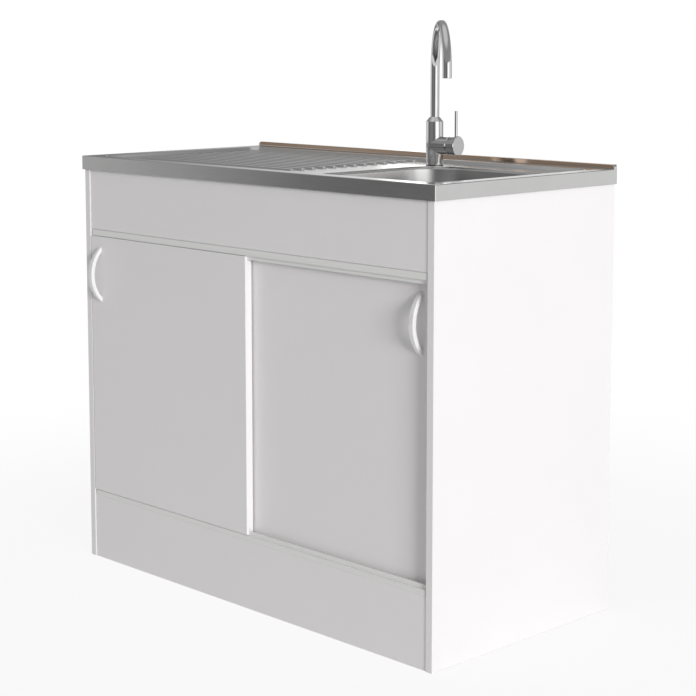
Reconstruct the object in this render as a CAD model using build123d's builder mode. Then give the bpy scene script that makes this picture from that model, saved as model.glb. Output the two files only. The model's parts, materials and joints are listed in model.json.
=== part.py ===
"""Kitchen sink unit: a floor cabinet with two sliding doors, a pressed steel top with bowl and
drainer, a swivel mixer tap and the waste under the bowl.

Millimetres. +X runs to the right along the front, +Y towards the wall and +Z up. The origin is on
the floor, in the middle of the footprint from the left handle's bow to the wall edge of the top.
"""

from build123d import *
from math import cos, radians, sin, sqrt, tan
import os

os.makedirs("parts", exist_ok=True)

# ---------------------------------------------------------------- driving dimensions
# steel top
top_width = 1000.0
top_depth = 500.0
deck_height = 850.0  # floor to the flat rim
sheet = 0.8  # steel thickness
skirt_height = 28.0
skirt_corner_radius = 3.0
deck_edge_radius = 1.5
upstand_height = 8.5
upstand_depth = 10.0
upstand_end_slope = 2.0
front_overhang = 4.5  # past the side panels
back_overhang = 1.0
side_overhang = 5.0
rim_border = 30.0  # flat rim at the front and the sides
rim_border_back = 45.0
recess_depth = 6.0
recess_run = 5.0  # plan width of its sloped wall
recess_corner_radius = 22.0
recess_floor_radius = 4.0

# drainer
rib_count = 13
rib_pitch = 28.0
rib_length = 470.0
rib_width = 10.0
rib_height = 3.0
rib_flank = 35.0  # degrees off upright
rib_gap_to_bowl = 96.0
rib_field_from_back = 70.0  # wall edge of the top to the last rib

# bowl
bowl_width = 310.0
bowl_depth = 150.0
bowl_corner_radius = 80.0
bowl_draft = 4.0  # degrees
bowl_floor_radius = 24.0
bowl_roll = 4.0  # rolled rim
bowl_from_right = 46.0
bowl_from_front = 44.0
bowl_from_back = 126.0
landing_drop = 2.5  # shallow step round the bowl
landing_margin = 8.0
landing_run = 3.0
landing_corner_radius = 64.0
landing_floor_radius = 1.5

# waste
drain_hole_radius = 45.0
drain_dish_radius = 59.0
drain_dish_depth = 2.5
flange_radius = 56.5
flange_thickness = 1.2
throat_radius = 43.0
throat_depth = 24.0
gasket_thickness = 3.0
waste_wall = 2.5
waste_cup_radius = 47.5
waste_cup_depth = 44.0
waste_tail_radius = 20.0
waste_tail_length = 34.0
waste_screw_radius = 3.0
basket_radius = 40.5
basket_depth = 15.0
basket_corner = 4.0
basket_rim = 4.0  # past the throat
basket_stem_radius = 3.0
basket_knob_height = 14.0
basket_knob_radius = 6.0
basket_knob_band = 3.0
basket_knob_edge = 1.0
basket_hole_radius = 2.4
basket_ring_radii = (17.0, 28.4)  # rings of holes, inner and outer
basket_ring_counts = (8, 14)
plate_ring_radii = (19.4, 33.5)
plate_ring_counts = (6, 12)
plate_hole_radii = (6.0, 4.3)
waste_spider_drop = 10.0
waste_screw_head_radius = 6.6
screw_slot = 1.4
pipe_radius = 20.0  # 40 mm waste pipe
pipe_wall = 2.0
pipe_mark_from_end = 45.0  # groove that shows how far the pipe goes into the drain
pipe_mark_width = 1.2
pipe_mark_depth = 0.3
trap_drop = 78.0  # end of the waste tail to the outlet axis
trap_head_radius = 31.0
trap_head_height = 58.0
trap_cup_radius = 29.0
trap_cup_length = 74.0
trap_shoulder = 12.0  # height of the cone above the head
trap_arm = 34.0  # head to the end of the outlet socket
trap_thread = 14.0  # collar of the cup inside the head
trap_flange = 8.0
trap_round = 6.0
cup_rib_count = 12
cup_rib_radius = 1.6
socket_depth = 20.0
nut_radius = 29.0
nut_length = 16.0
nut_edge = 1.5
nut_groove_count = 10
nut_groove_radius = 2.6
nut_groove_depth = 1.4

# tap
tap_from_bowl_left = -9.0
tap_behind_bowl = 17.5
tap_hole_radius = 15.0
tap_body_radius = 17.0
tap_body_height = 94.0
tap_shoulder = 9.0  # height of the cone at the top
tap_neck_radius = 9.7
tap_seal_thickness = 1.0
tap_seal_inset = 0.4
shank_radius = 14.0
shank_bore_radius = 11.2
shank_length = 46.0
shank_seat = 6.0  # depth of the shank in the body
washer_radius = 21.0
rubber_thickness = 3.0
washer_thickness = 2.0
tap_nut_radius = 20.0  # across its corners, halved
tap_nut_thickness = 9.0
inlet_thread_radius = 4.5  # M10 x 1 hose tails
inlet_thread_depth = 10.0
inlet_spacing = 11.0
spout_radius = 8.8
spout_wall = 1.2
spout_reach = 180.0
spout_arch_height = 185.0  # ledge to the centre of the arch
spout_tip = 10.5  # straight end below the arch, aerator and all
spout_socket = 30.0
bush_wall = 2.2
bush_below_neck = 2.0
spout_aim = -40.0  # degrees from +X
aerator_collar = 3.0
aerator_insert = 10.0
aerator_wall = 1.0
aerator_edge = 0.5
aerator_face = 1.2
aerator_hole_radius = 0.9
aerator_hole_pitch = 3.0
lever_axis_height = 39.0
lever_aim = 7.0  # degrees from +X
stub_radius = 17.6
stub_reach = 37.5  # tap axis to the end of the stub
stub_rim_run = 2.8  # bevel inside the arc that the knob's edge swings through
cartridge_radius = 14.2
cartridge_wall = 2.2
cartridge_floor = -3.0  # along the lever axis, from the tap axis
cartridge_mouth = 30.0
guide_floor = 10.0
guide_base = 2.2
ring_thickness = 5.0
ring_opening = 11.0
ring_edge = 1.0
pivot_reach = 22.0
pivot_pin_radius = 1.5
knob_gap = 0.8
knob_length = 19.0
knob_face_radius = 19.6  # the knob widens from the stub to its face
knob_wall = 2.5
knob_cavity = 4.5
knob_cap = 4.0  # thickness in front of the stem
knob_edge = 0.8
stem_radius = 4.0
stem_behind_pivot = 7.0
grub_radius = 2.0
grub_from_cavity = 3.5
grub_sunk = 2.0
grub_socket_radius = 1.1
lever_pin_radius = 3.0
lever_pin_length = 49.0
lever_pin_from_face = 6.0
lever_pin_foot = 3.0  # from the stem to the bottom of the pin's hole
lever_pin_edge = 0.5

# cabinet boards
board = 16.0
board_edge = 0.8  # broken edges of the boards
plinth_height = 134.5
front_setback = 2.0  # fascia, plinth and tracks behind the side panels
back_panel_thickness = 3.0
back_panel_inset = 12.0  # from the panels' rear edges
back_groove_depth = 6.0
rail_height = 80.0
batten_height = 40.0
cutout_width = 260.0
cutout_height = 220.0
cutout_corner = 20.0
floor_bolt_inset = 110.0  # from the front and the back of the bottom board
floor_dowel_inset = 160.0
fascia_bolt_shares = (0.27, 0.71)  # of the fascia's height above the batten
fascia_dowel_rise = 20.0
plinth_bolt_height = 57.0
plinth_dowel_height = 89.0
rail_dowel_drop = 20.0

# sliding doors and their tracks
lower_track_height = 10.0
upper_track_height = 13.0
track_depth = 32.0
track_end_gap = 2.5
track_wall = 2.5
track_corner = 2.0
track_lip = 1.0
track_reveal_height = 1.0  # shadow line between the upper track and the fascia
track_reveal_depth = 2.2
tongue_width = 3.0
tongue_height = 8.0
door_height = 539.0
door_gap_below = 1.5
door_gap_above = 1.0
door_gap_side = 1.5
door_overlap = 20.0
door_spacing = 3.5  # between the two doors
door_groove_width = 6.0
door_groove_depth = 12.0
glide_length = 60.0
glide_end_inset = 0.5  # from the door's end to the glide

# handles
handle_from_side = 48.0  # side panel's outer face to the handle's middle
handle_length = 115.0
handle_reach = 27.0
handle_width = 13.0
handle_end_width = 9.5
handle_grip = 9.0  # thickness of the bow at its middle
handle_foot = 11.5
handle_hole_spacing = 96.0
handle_below_door_top = 79.0  # to the handle's middle
handle_round = 2.5
handle_screw_radius = 2.0
handle_screw_bite = 6.5

# fittings
cam_radius = 7.5
cam_depth = 12.5
cam_inset = 24.0  # board end to the cam's axis
cam_slot_width = 1.6
cam_slot_depth = 2.5
bolt_radius = 3.0
bolt_thread_radius = 2.5
bolt_thread_length = 11.0
dowel_radius = 4.0
dowel_length = 30.0
dowel_hole_depth = 16.0
dowel_edge = 0.8
bracket_leg = 30.0
bracket_x_far = 380.0
bracket_x_near = 20.0
bracket_rise = 26.0
bracket_screw_drop = 15.6
bracket_width = 25.0
bracket_thickness = 2.0
wood_screw_radius = 1.75
wood_screw_length = 13.0
wood_screw_head_radius = 3.6
wood_screw_head = 2.4
wood_screw_point = 5.2
wood_screw_taper = 17.0  # degrees
handle_screw_head_radius = 4.0
handle_screw_head_round = 0.8

# clearances
running_gap = 0.08  # a turning fit, on the radius
slide_gap = 0.3  # moving faces side by side
fixed_gap = 0.1  # a piece in its hole
free_gap = 0.5

# ---------------------------------------------------------------- places worked out from them
carcass_front = (handle_reach + front_overhang - top_depth) / 2
top_front = carcass_front - front_overhang
top_back = top_front + top_depth
top_middle = (top_front + top_back) / 2
panel_back = top_back - back_overhang
deck_under = deck_height - sheet
skirt_bottom = deck_height - skirt_height
panel_outer = top_width / 2 - side_overhang
panel_inner = panel_outer - board
opening_width = 2 * panel_inner

ledge = deck_height - recess_depth  # top face of the recessed working area
ledge_under = ledge - sheet
landing = ledge - landing_drop
bowl_floor = landing - bowl_depth
bowl_run = bowl_depth * tan(radians(bowl_draft))
bowl_right = top_width / 2 - bowl_from_right
bowl_left = bowl_right - bowl_width
bowl_x = (bowl_left + bowl_right) / 2
bowl_length = top_depth - bowl_from_front - bowl_from_back
bowl_y = top_front + bowl_from_front + bowl_length / 2
bowl_back = bowl_y + bowl_length / 2
recess_y = top_front + (rim_border + top_depth - rim_border_back) / 2
recess_size = (top_width - 2 * rim_border, top_depth - rim_border - rim_border_back)

rib_x = bowl_left - rib_gap_to_bowl - rib_length / 2
rib_y = top_back - rib_field_from_back - (rib_count - 1) * rib_pitch / 2

fascia_front = carcass_front + front_setback
fascia_back = fascia_front + board
back_panel_back = panel_back - back_panel_inset
back_panel_front = back_panel_back - back_panel_thickness
board_back = back_panel_front - fixed_gap

lower_track_top = plinth_height + lower_track_height
door_bottom = lower_track_top + door_gap_below
door_top = door_bottom + door_height
upper_track_bottom = door_top + door_gap_above
fascia_bottom = upper_track_bottom + upper_track_height
door_width = (opening_width - 2 * door_gap_side + door_overlap) / 2
left_door_front = carcass_front
right_door_front = left_door_front + board + door_spacing
handle_x = panel_outer - handle_from_side
handle_height = door_top - handle_below_door_top

tap_x = bowl_left + tap_from_bowl_left
tap_y = bowl_back + tap_behind_bowl
tap_base = ledge + tap_seal_thickness
lever_z = ledge + lever_axis_height


def save(piece, label):
    """Name a finished piece and write it to its own file."""
    piece.label = label
    export_step(piece, f"parts/{label}.step")


# ================================================================ cabinet boards
def box_between(low, high, edge=0.0):
    """A board between two corners, its edges broken by edge."""
    size = [b - a for a, b in zip(low, high)]
    middle = tuple((a + b) / 2 for a, b in zip(low, high))
    with BuildPart() as block:
        with Locations(middle):
            Box(*size)
        if edge:
            chamfer(block.edges(), edge)
    return block.part


# Each end joint of a board: how far along the end (y, z) its cam bolt or dowel sits.
bottom_z = plinth_height - board / 2
fascia_y = fascia_front + board / 2
rail_y = board_back - board / 2
batten_y = fascia_back + board / 2
fascia_above_batten = deck_under - fascia_bottom - batten_height
fascia_bolt_z = [
    fascia_bottom + batten_height + share * fascia_above_batten for share in fascia_bolt_shares
]
cam_joints = [
    (carcass_front + floor_bolt_inset, bottom_z, "down"),
    (panel_back - floor_bolt_inset, bottom_z, "down"),
    (fascia_y, fascia_bolt_z[0], "back"),
    (fascia_y, fascia_bolt_z[1], "back"),
    (fascia_y, plinth_bolt_height, "back"),
    (rail_y, deck_under - rail_height / 2, "front"),
]
dowel_joints = [
    (carcass_front + floor_dowel_inset, bottom_z),
    (panel_back - floor_dowel_inset, bottom_z),
    (fascia_y, fascia_bottom + fascia_dowel_rise),
    (fascia_y, plinth_dowel_height),
    (rail_y, deck_under - rail_dowel_drop),
    (batten_y, fascia_bottom + batten_height / 2),
]


# Angles under the recess: where each stands along X, the board face it is on, the way it points.
bracket_screw_z = ledge_under - bracket_screw_drop
bracket_sites = [
    (bracket_x_far, board_back - board, -1),
    (-bracket_x_far, board_back - board, -1),
    (bracket_x_near, fascia_back, 1),
    (-bracket_x_far, fascia_back, 1),
]


def side_panel(side):
    """One side of the cabinet, side = -1 on the left and 1 on the right, down to the floor."""
    inner = side * panel_inner
    outer = side * panel_outer
    low = (min(inner, outer), carcass_front, 0)
    high = (max(inner, outer), panel_back, deck_under)
    blank = box_between(low, high, board_edge)
    inner_face = Plane((inner, 0, 0), x_dir=(0, 1, 0), z_dir=(side, 0, 0))
    # On this plane local x is +Y, and local y is +Z on the right and -Z on the left.
    with BuildPart() as panel:
        add(blank)
        with BuildSketch(inner_face):
            for y, z, _ in cam_joints:
                with Locations((y, side * z)):
                    Circle(bolt_thread_radius + fixed_gap)
        extrude(amount=bolt_thread_length + free_gap, mode=Mode.SUBTRACT)
        with BuildSketch(inner_face):
            for y, z in dowel_joints:
                with Locations((y, side * z)):
                    Circle(dowel_radius + fixed_gap)
        extrude(amount=dowel_length - dowel_hole_depth + free_gap, mode=Mode.SUBTRACT)
        with BuildSketch(inner_face):
            groove_low = plinth_height - board
            groove_middle = (groove_low + deck_under) / 2
            with Locations((back_panel_back - back_panel_thickness / 2, side * groove_middle)):
                Rectangle(back_panel_thickness + 2 * fixed_gap, deck_under - groove_low)
        extrude(amount=back_groove_depth, mode=Mode.SUBTRACT)
    return panel.part


save(side_panel(-1), "side_panel_left")
save(side_panel(1), "side_panel_right")


def drill_ends(low, high):
    """The cam, bolt and dowel holes in both ends of a board that lies between low and high."""
    holes = []
    for side in (-1, 1):
        end = side * panel_inner
        end_plane = Plane((end, 0, 0), x_dir=(0, 1, 0), z_dir=(-side, 0, 0))
        for y, z, where in cam_joints:
            if not (low[1] < y < high[1] and low[2] < z < high[2]):
                continue
            with BuildPart() as hole:
                with BuildSketch(end_plane):
                    with Locations((y, -side * z)):
                        Circle(bolt_radius + fixed_gap)
                extrude(amount=cam_inset)
                with BuildSketch(cam_plane(end - side * cam_inset, y, z, where)):
                    Circle(cam_radius)
                extrude(amount=-cam_depth)
            holes.append(hole.part)
        for y, z in dowel_joints:
            if not (low[1] < y < high[1] and low[2] < z < high[2]):
                continue
            with BuildPart() as hole:
                with BuildSketch(end_plane):
                    with Locations((y, -side * z)):
                        Circle(dowel_radius + fixed_gap)
                extrude(amount=dowel_hole_depth + free_gap)
            holes.append(hole.part)
    return holes


def cam_plane(x, y, z, where):
    """The face of the board that a cam is let into, its normal pointing out of the board."""
    if where == "down":
        return Plane((x, y, z - board / 2), x_dir=(1, 0, 0), z_dir=(0, 0, -1))
    out = 1 if where == "back" else -1
    return Plane((x, y + out * board / 2, z), x_dir=(1, 0, 0), z_dir=(0, out, 0))


def pilot_holes(low, high):
    """Holes for the bracket screws, in whichever board they are driven into."""
    holes = []
    for x, wall_y, out in bracket_sites:
        if not (low[1] < wall_y - out < high[1] and low[2] < bracket_screw_z < high[2]):
            continue
        face = Plane((x, wall_y, bracket_screw_z), x_dir=(1, 0, 0), z_dir=(0, -out, 0))
        with BuildPart() as hole:
            with BuildSketch(face):
                Circle(wood_screw_radius + fixed_gap)
            extrude(amount=wood_screw_length)
        holes.append(hole.part)
    return holes


def drilled_board(low, high):
    """A board between the side panels with its joint holes."""
    blank = box_between(low, high, board_edge)
    holes = drill_ends(low, high) + pilot_holes(low, high)
    with BuildPart() as piece:
        add(blank)
        for hole in holes:
            add(hole, mode=Mode.SUBTRACT)
    return piece.part


save(
    drilled_board(
        (-panel_inner, fascia_back, plinth_height - board),
        (panel_inner, board_back, plinth_height),
    ),
    "bottom_board",
)
save(
    drilled_board((-panel_inner, fascia_front, 0), (panel_inner, fascia_back, plinth_height)),
    "plinth_board",
)
save(
    drilled_board(
        (-panel_inner, fascia_front, fascia_bottom), (panel_inner, fascia_back, deck_under)
    ),
    "fascia_board",
)
save(
    drilled_board(
        (-panel_inner, fascia_back, fascia_bottom),
        (panel_inner, fascia_back + board, fascia_bottom + batten_height),
    ),
    "front_batten",
)
save(
    drilled_board(
        (-panel_inner, board_back - board, deck_under - rail_height),
        (panel_inner, board_back, deck_under),
    ),
    "back_rail",
)

# ---- hardboard back, let into grooves, with the cut-out for the waste and the supply
waste_floor = bowl_floor - drain_dish_depth
tail_end = waste_floor - sheet - gasket_thickness - waste_cup_depth - waste_tail_length
outlet_z = tail_end - trap_drop
back_panel_half = panel_inner + back_groove_depth - free_gap
back_panel_bottom = plinth_height - board + free_gap
back_panel_top = deck_under - free_gap
with BuildPart() as back_panel:
    with BuildSketch(Plane.XZ.offset(-back_panel_front)):
        with Locations((0, (back_panel_bottom + back_panel_top) / 2)):
            Rectangle(2 * back_panel_half, back_panel_top - back_panel_bottom)
        with Locations((bowl_x, outlet_z)):
            RectangleRounded(cutout_width, cutout_height, cutout_corner, mode=Mode.SUBTRACT)
    extrude(amount=-back_panel_thickness)
save(back_panel.part, "back_panel")

# ================================================================ hidden fittings
def gather(pieces):
    """Identical fasteners as one node of separate solids."""
    return Compound(children=[solid for piece in pieces for solid in piece.solids()])


cams = []
bolts = []
dowels = []
for side in (-1, 1):
    end = side * panel_inner
    for y, z, where in cam_joints:
        place = cam_plane(end - side * cam_inset, y, z, where)
        with BuildPart() as cam_body:
            with BuildSketch(place):
                Circle(cam_radius - fixed_gap)
            extrude(amount=-(cam_depth - fixed_gap))
            with BuildSketch(place):
                Rectangle(cam_radius, cam_slot_width)
                Rectangle(cam_slot_width, cam_radius)
            extrude(amount=-cam_slot_depth, mode=Mode.SUBTRACT)
            with BuildSketch(Plane((end, y, z), x_dir=(0, 1, 0), z_dir=(-side, 0, 0))):
                Circle(bolt_radius + 2 * fixed_gap)
            extrude(amount=cam_inset + cam_radius, mode=Mode.SUBTRACT)
        cams.append(cam_body.part)
        with BuildPart() as bolt:
            with BuildSketch(Plane((end, y, z), x_dir=(0, 1, 0), z_dir=(-side, 0, 0))):
                Circle(bolt_radius)
            extrude(amount=cam_inset - fixed_gap)
            with BuildSketch(Plane((end, y, z), x_dir=(0, 1, 0), z_dir=(side, 0, 0))):
                Circle(bolt_thread_radius)
            extrude(amount=bolt_thread_length)
        bolts.append(bolt.part)
    for y, z in dowel_joints:
        with BuildPart() as dowel:
            start = Plane((end - side * dowel_hole_depth, y, z), x_dir=(0, 1, 0), z_dir=(side, 0, 0))
            with BuildSketch(start):
                Circle(dowel_radius)
            extrude(amount=dowel_length)
            chamfer(dowel.edges().filter_by(GeomType.CIRCLE), dowel_edge)
        dowels.append(dowel.part)
save(gather(cams), "cam_locks")
save(gather(bolts), "cam_bolts")
save(gather(dowels), "wooden_dowels")

# ================================================================ sliding tracks
track_length = opening_width - 2 * track_end_gap
left_door_middle = left_door_front + board / 2
right_door_middle = right_door_front + board / 2
track_front = fascia_front
track_profile = Plane(
    (-track_length / 2, 0, 0), x_dir=(0, 1, 0), z_dir=(1, 0, 0)
)  # local x is +Y, local y is +Z

with BuildPart() as lower_track:
    with BuildSketch(track_profile):
        with Locations((track_front, plinth_height)):
            Rectangle(track_depth, lower_track_height, align=(Align.MIN, Align.MIN))
        chamber = (track_depth - 3 * track_wall) / 2
        for start in (track_front + track_wall, track_front + 2 * track_wall + chamber):
            with Locations((start, plinth_height)):
                Rectangle(
                    chamber,
                    lower_track_height - track_wall,
                    align=(Align.MIN, Align.MIN),
                    mode=Mode.SUBTRACT,
                )
        for middle in (left_door_middle, right_door_middle):
            with Locations((middle, lower_track_top)):
                Rectangle(tongue_width, tongue_height, align=(Align.CENTER, Align.MIN))
    extrude(amount=track_length)
    fillet(lower_track.edges().filter_by(Axis.Z).group_by(Axis.Y)[0], track_corner)
    front_face = lower_track.faces().sort_by(Axis.Y)[0]
    fillet(front_face.edges().sort_by(Axis.Z)[-1], track_lip)
save(lower_track.part, "lower_track")

with BuildPart() as upper_track:
    with BuildSketch(track_profile):
        with Locations((track_front, fascia_bottom - track_wall)):
            Rectangle(track_depth, track_wall, align=(Align.MIN, Align.MIN))
        lips = (
            track_front,
            (left_door_middle + right_door_middle - track_wall) / 2,
            track_front + track_depth - track_wall,
        )
        for start in lips:
            with Locations((start, upper_track_bottom)):
                Rectangle(track_wall, upper_track_height, align=(Align.MIN, Align.MIN))
        for middle in (left_door_middle, right_door_middle):
            with Locations((middle, fascia_bottom)):
                Rectangle(
                    tongue_width,
                    upper_track_height + tongue_height,
                    align=(Align.CENTER, Align.MAX),
                )
    extrude(amount=track_length)
    fillet(upper_track.edges().filter_by(Axis.Z).group_by(Axis.Y)[0], track_corner)
    with BuildSketch(track_profile):
        with Locations((track_front, fascia_bottom)):
            Rectangle(track_reveal_depth, track_reveal_height, align=(Align.MIN, Align.MAX))
    extrude(amount=track_length, mode=Mode.SUBTRACT)
save(upper_track.part, "upper_track")


# ================================================================ doors
def door(edge_x, front_y, hole_x):
    """A door whose left edge is at edge_x, grooved along its top and bottom for the tongues."""
    blank = box_between(
        (edge_x, front_y, door_bottom), (edge_x + door_width, front_y + board, door_top), board_edge
    )
    middle_y = front_y + board / 2
    middle_x = edge_x + door_width / 2
    with BuildPart() as leaf:
        add(blank)
        with BuildSketch(Plane.XY.offset(door_bottom)):
            with Locations((middle_x, middle_y)):
                Rectangle(door_width, door_groove_width)
        extrude(amount=door_groove_depth, mode=Mode.SUBTRACT)
        with BuildSketch(Plane.XY.offset(door_top)):
            with Locations((middle_x, middle_y)):
                Rectangle(door_width, door_groove_width)
        extrude(amount=-door_groove_depth, mode=Mode.SUBTRACT)
        with BuildSketch(Plane.XZ.offset(-front_y)):
            with Locations((hole_x, handle_height)):
                with GridLocations(0, handle_hole_spacing, 1, 2):
                    Circle(handle_screw_radius + fixed_gap)
        extrude(amount=-board, mode=Mode.SUBTRACT)
    return leaf.part


def door_glides(edge_x, front_y):
    """Four plastic liners in the grooves, which straddle the tongues; the lower pair carries."""
    middle_y = front_y + board / 2
    from_end = glide_end_inset + glide_length / 2
    ends = (edge_x + from_end, edge_x + door_width - from_end)
    pieces = []
    slot = tongue_width + 2 * slide_gap
    for x in ends:
        with BuildPart() as lower:
            with BuildSketch(Plane.XY.offset(door_bottom)):
                with Locations((x, middle_y)):
                    Rectangle(glide_length, door_groove_width)
            extrude(amount=door_groove_depth)
            with BuildSketch(Plane.XY.offset(door_bottom)):
                with Locations((x, middle_y)):
                    Rectangle(glide_length, slot)
            extrude(
                amount=lower_track_top + tongue_height + slide_gap - door_bottom,
                mode=Mode.SUBTRACT,
            )
        pieces.append(lower.part)
        with BuildPart() as upper:
            with BuildSketch(Plane.XY.offset(door_top)):
                with Locations((x, middle_y)):
                    Rectangle(glide_length, door_groove_width)
            extrude(amount=-door_groove_depth)
            with BuildSketch(Plane.XY.offset(door_top)):
                with Locations((x, middle_y)):
                    Rectangle(glide_length, slot)
            extrude(
                amount=-(door_top - upper_track_bottom + tongue_height + free_gap),
                mode=Mode.SUBTRACT,
            )
        pieces.append(upper.part)
    return gather(pieces)


def bow_handle(x, front_y):
    """A bow whose outer and inner arcs both spring from the door's face, slimmer at its ends."""
    half = handle_length / 2
    inner_half = half - handle_foot
    side_view = Plane((x, front_y, handle_height), x_dir=(0, -1, 0), z_dir=(1, 0, 0))
    # On this plane local x points out of the door, and local y is -Z.
    front_view = Plane((x, front_y, handle_height), x_dir=(1, 0, 0), z_dir=(0, -1, 0))
    with BuildPart() as bow:
        with BuildSketch(side_view):
            with BuildLine():
                ThreePointArc((0, -half), (handle_reach, 0), (0, half))
                Line((0, half), (0, inner_half))
                ThreePointArc((0, inner_half), (handle_reach - handle_grip, 0), (0, -inner_half))
                Line((0, -inner_half), (0, -half))
            make_face()
        extrude(amount=handle_width, both=True)
        with BuildSketch(front_view):
            with BuildLine():
                end = handle_end_width / 2
                wide = handle_width / 2
                ThreePointArc((-end, -half), (-wide, 0), (-end, half))
                Line((-end, half), (end, half))
                ThreePointArc((end, half), (wide, 0), (end, -half))
                Line((end, -half), (-end, -half))
            make_face()
        extrude(amount=handle_reach, mode=Mode.INTERSECT)
        long_edges = bow.edges().filter_by(lambda e: e.length > handle_foot * 2)
        fillet(long_edges, handle_round)
        with BuildSketch(front_view):
            with GridLocations(0, handle_hole_spacing, 1, 2):
                Circle(handle_screw_radius + fixed_gap)
        extrude(amount=handle_screw_bite + free_gap, mode=Mode.SUBTRACT)
    return bow.part


def handle_screws(x, front_y):
    """Two pan-head screws through the door from behind."""
    back_y = front_y + board
    pieces = []
    for rise in (-handle_hole_spacing / 2, handle_hole_spacing / 2):
        behind = Plane((x, back_y, handle_height + rise), x_dir=(1, 0, 0), z_dir=(0, 1, 0))
        with BuildPart() as screw:
            with BuildSketch(behind):
                Circle(handle_screw_head_radius)
            extrude(amount=wood_screw_head)
            fillet(screw.edges().group_by(Axis.Y)[-1], handle_screw_head_round)
            with BuildSketch(behind):
                Circle(handle_screw_radius)
            extrude(amount=-(board + handle_screw_bite))
        pieces.append(screw.part)
    return gather(pieces)


left_edge = -panel_inner + door_gap_side
right_edge = panel_inner - door_gap_side - door_width
door_sets = (
    ("left", left_edge, left_door_front, -handle_x),
    ("right", right_edge, right_door_front, handle_x),
)
for which, edge_x, front_y, x in door_sets:
    save(door(edge_x, front_y, x), f"door_{which}")
    save(door_glides(edge_x, front_y), f"door_glides_{which}")
    save(bow_handle(x, front_y), f"handle_{which}")
    save(handle_screws(x, front_y), f"handle_screws_{which}")


# ================================================================ pressed steel top
def slab(width, depth, corner, z_low, z_high, edge):
    """The top's outline in plan, its upper edge rolled over."""
    with BuildPart() as block:
        with BuildSketch(Plane.XY.offset(z_low)):
            with Locations((0, top_middle)):
                RectangleRounded(width, depth, corner)
        extrude(amount=z_high - z_low)
        fillet(block.faces().sort_by(Axis.Z)[-1].edges(), edge)
    return block.part


def upstand(inset):
    """The fold along the wall with sloped ends, shrunk by inset on every side."""
    z_low = deck_under - deck_edge_radius
    z_high = deck_height + upstand_height - inset
    half_foot = top_width / 2 - inset
    half_top = half_foot - upstand_end_slope
    with BuildPart() as fold:
        with BuildSketch(Plane.XY.offset(z_low)):
            with Locations((0, top_middle)):
                RectangleRounded(
                    top_width - 2 * inset, top_depth - 2 * inset, skirt_corner_radius - inset
                )
            with Locations((0, top_back - upstand_depth / 2)):
                Rectangle(top_width, upstand_depth - 2 * inset, mode=Mode.INTERSECT)
        extrude(amount=z_high - z_low)
        with BuildSketch(Plane.XZ.offset(-top_back)):
            with BuildLine():
                Polyline(
                    (-half_foot, z_low),
                    (-half_foot, deck_height),
                    (-half_top, z_high),
                    (half_top, z_high),
                    (half_foot, deck_height),
                    (half_foot, z_low),
                    close=True,
                )
            make_face()
        extrude(amount=upstand_depth, mode=Mode.INTERSECT)
        top_edges = fold.edges().filter_by(Axis.X).group_by(Axis.Z)[-1]
        fillet(top_edges, deck_edge_radius - inset)
    return fold.part


def well(centre, size, corner, z_top, z_bottom, run, floor_radius=0.0):
    """A hollow with rounded corners, drawn in by run on every side at its floor."""
    with BuildPart() as hollow:
        with BuildSketch(Plane.XY.offset(z_top)):
            with Locations(centre):
                RectangleRounded(size[0], size[1], corner)
        with BuildSketch(Plane.XY.offset(z_bottom)):
            with Locations(centre):
                RectangleRounded(size[0] - 2 * run, size[1] - 2 * run, corner - run)
        loft(ruled=True)
        if floor_radius:
            fillet(hollow.faces().sort_by(Axis.Z)[0].edges(), floor_radius)
    return hollow.part


def working_area(grow):
    """The recess, the step round the bowl, its rolled rim and the bowl itself, as one list of
    hollows; grow = 0 gives the upper face and grow = sheet the underside."""
    centre = (bowl_x, bowl_y)
    landing_size = (bowl_width + 2 * landing_margin, bowl_length + 2 * landing_margin)
    wide = 2 * grow
    return [
        well(
            (0, recess_y),
            (recess_size[0] + wide, recess_size[1] + wide),
            recess_corner_radius + grow,
            deck_height - grow,
            ledge - grow,
            recess_run,
            recess_floor_radius + grow,
        ),
        well(
            centre,
            (landing_size[0] + wide, landing_size[1] + wide),
            landing_corner_radius + grow,
            ledge - grow,
            landing - grow,
            landing_run,
            landing_floor_radius + grow,
        ),
        well(
            centre,
            (bowl_width + 2 * bowl_roll / 2 + wide, bowl_length + 2 * bowl_roll / 2 + wide),
            bowl_corner_radius + bowl_roll / 2 + grow,
            landing - grow,
            landing - bowl_roll / 2 - grow,
            bowl_roll / 2,
        ),
        well(
            centre,
            (bowl_width + wide, bowl_length + wide),
            bowl_corner_radius + grow,
            landing - bowl_roll / 2 - grow,
            bowl_floor - grow,
            bowl_run,
            bowl_floor_radius + grow,
        ),
    ]


deck_outside = slab(
    top_width, top_depth, skirt_corner_radius, skirt_bottom, deck_height, deck_edge_radius
)
deck_inside = slab(
    top_width - 2 * sheet,
    top_depth - 2 * sheet,
    skirt_corner_radius - sheet,
    skirt_bottom,
    deck_under,
    deck_edge_radius - sheet,
)
upstand_outside = upstand(0.0)
upstand_inside = upstand(sheet)
hollows_outside = working_area(sheet)
hollows_inside = working_area(0.0)

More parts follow.
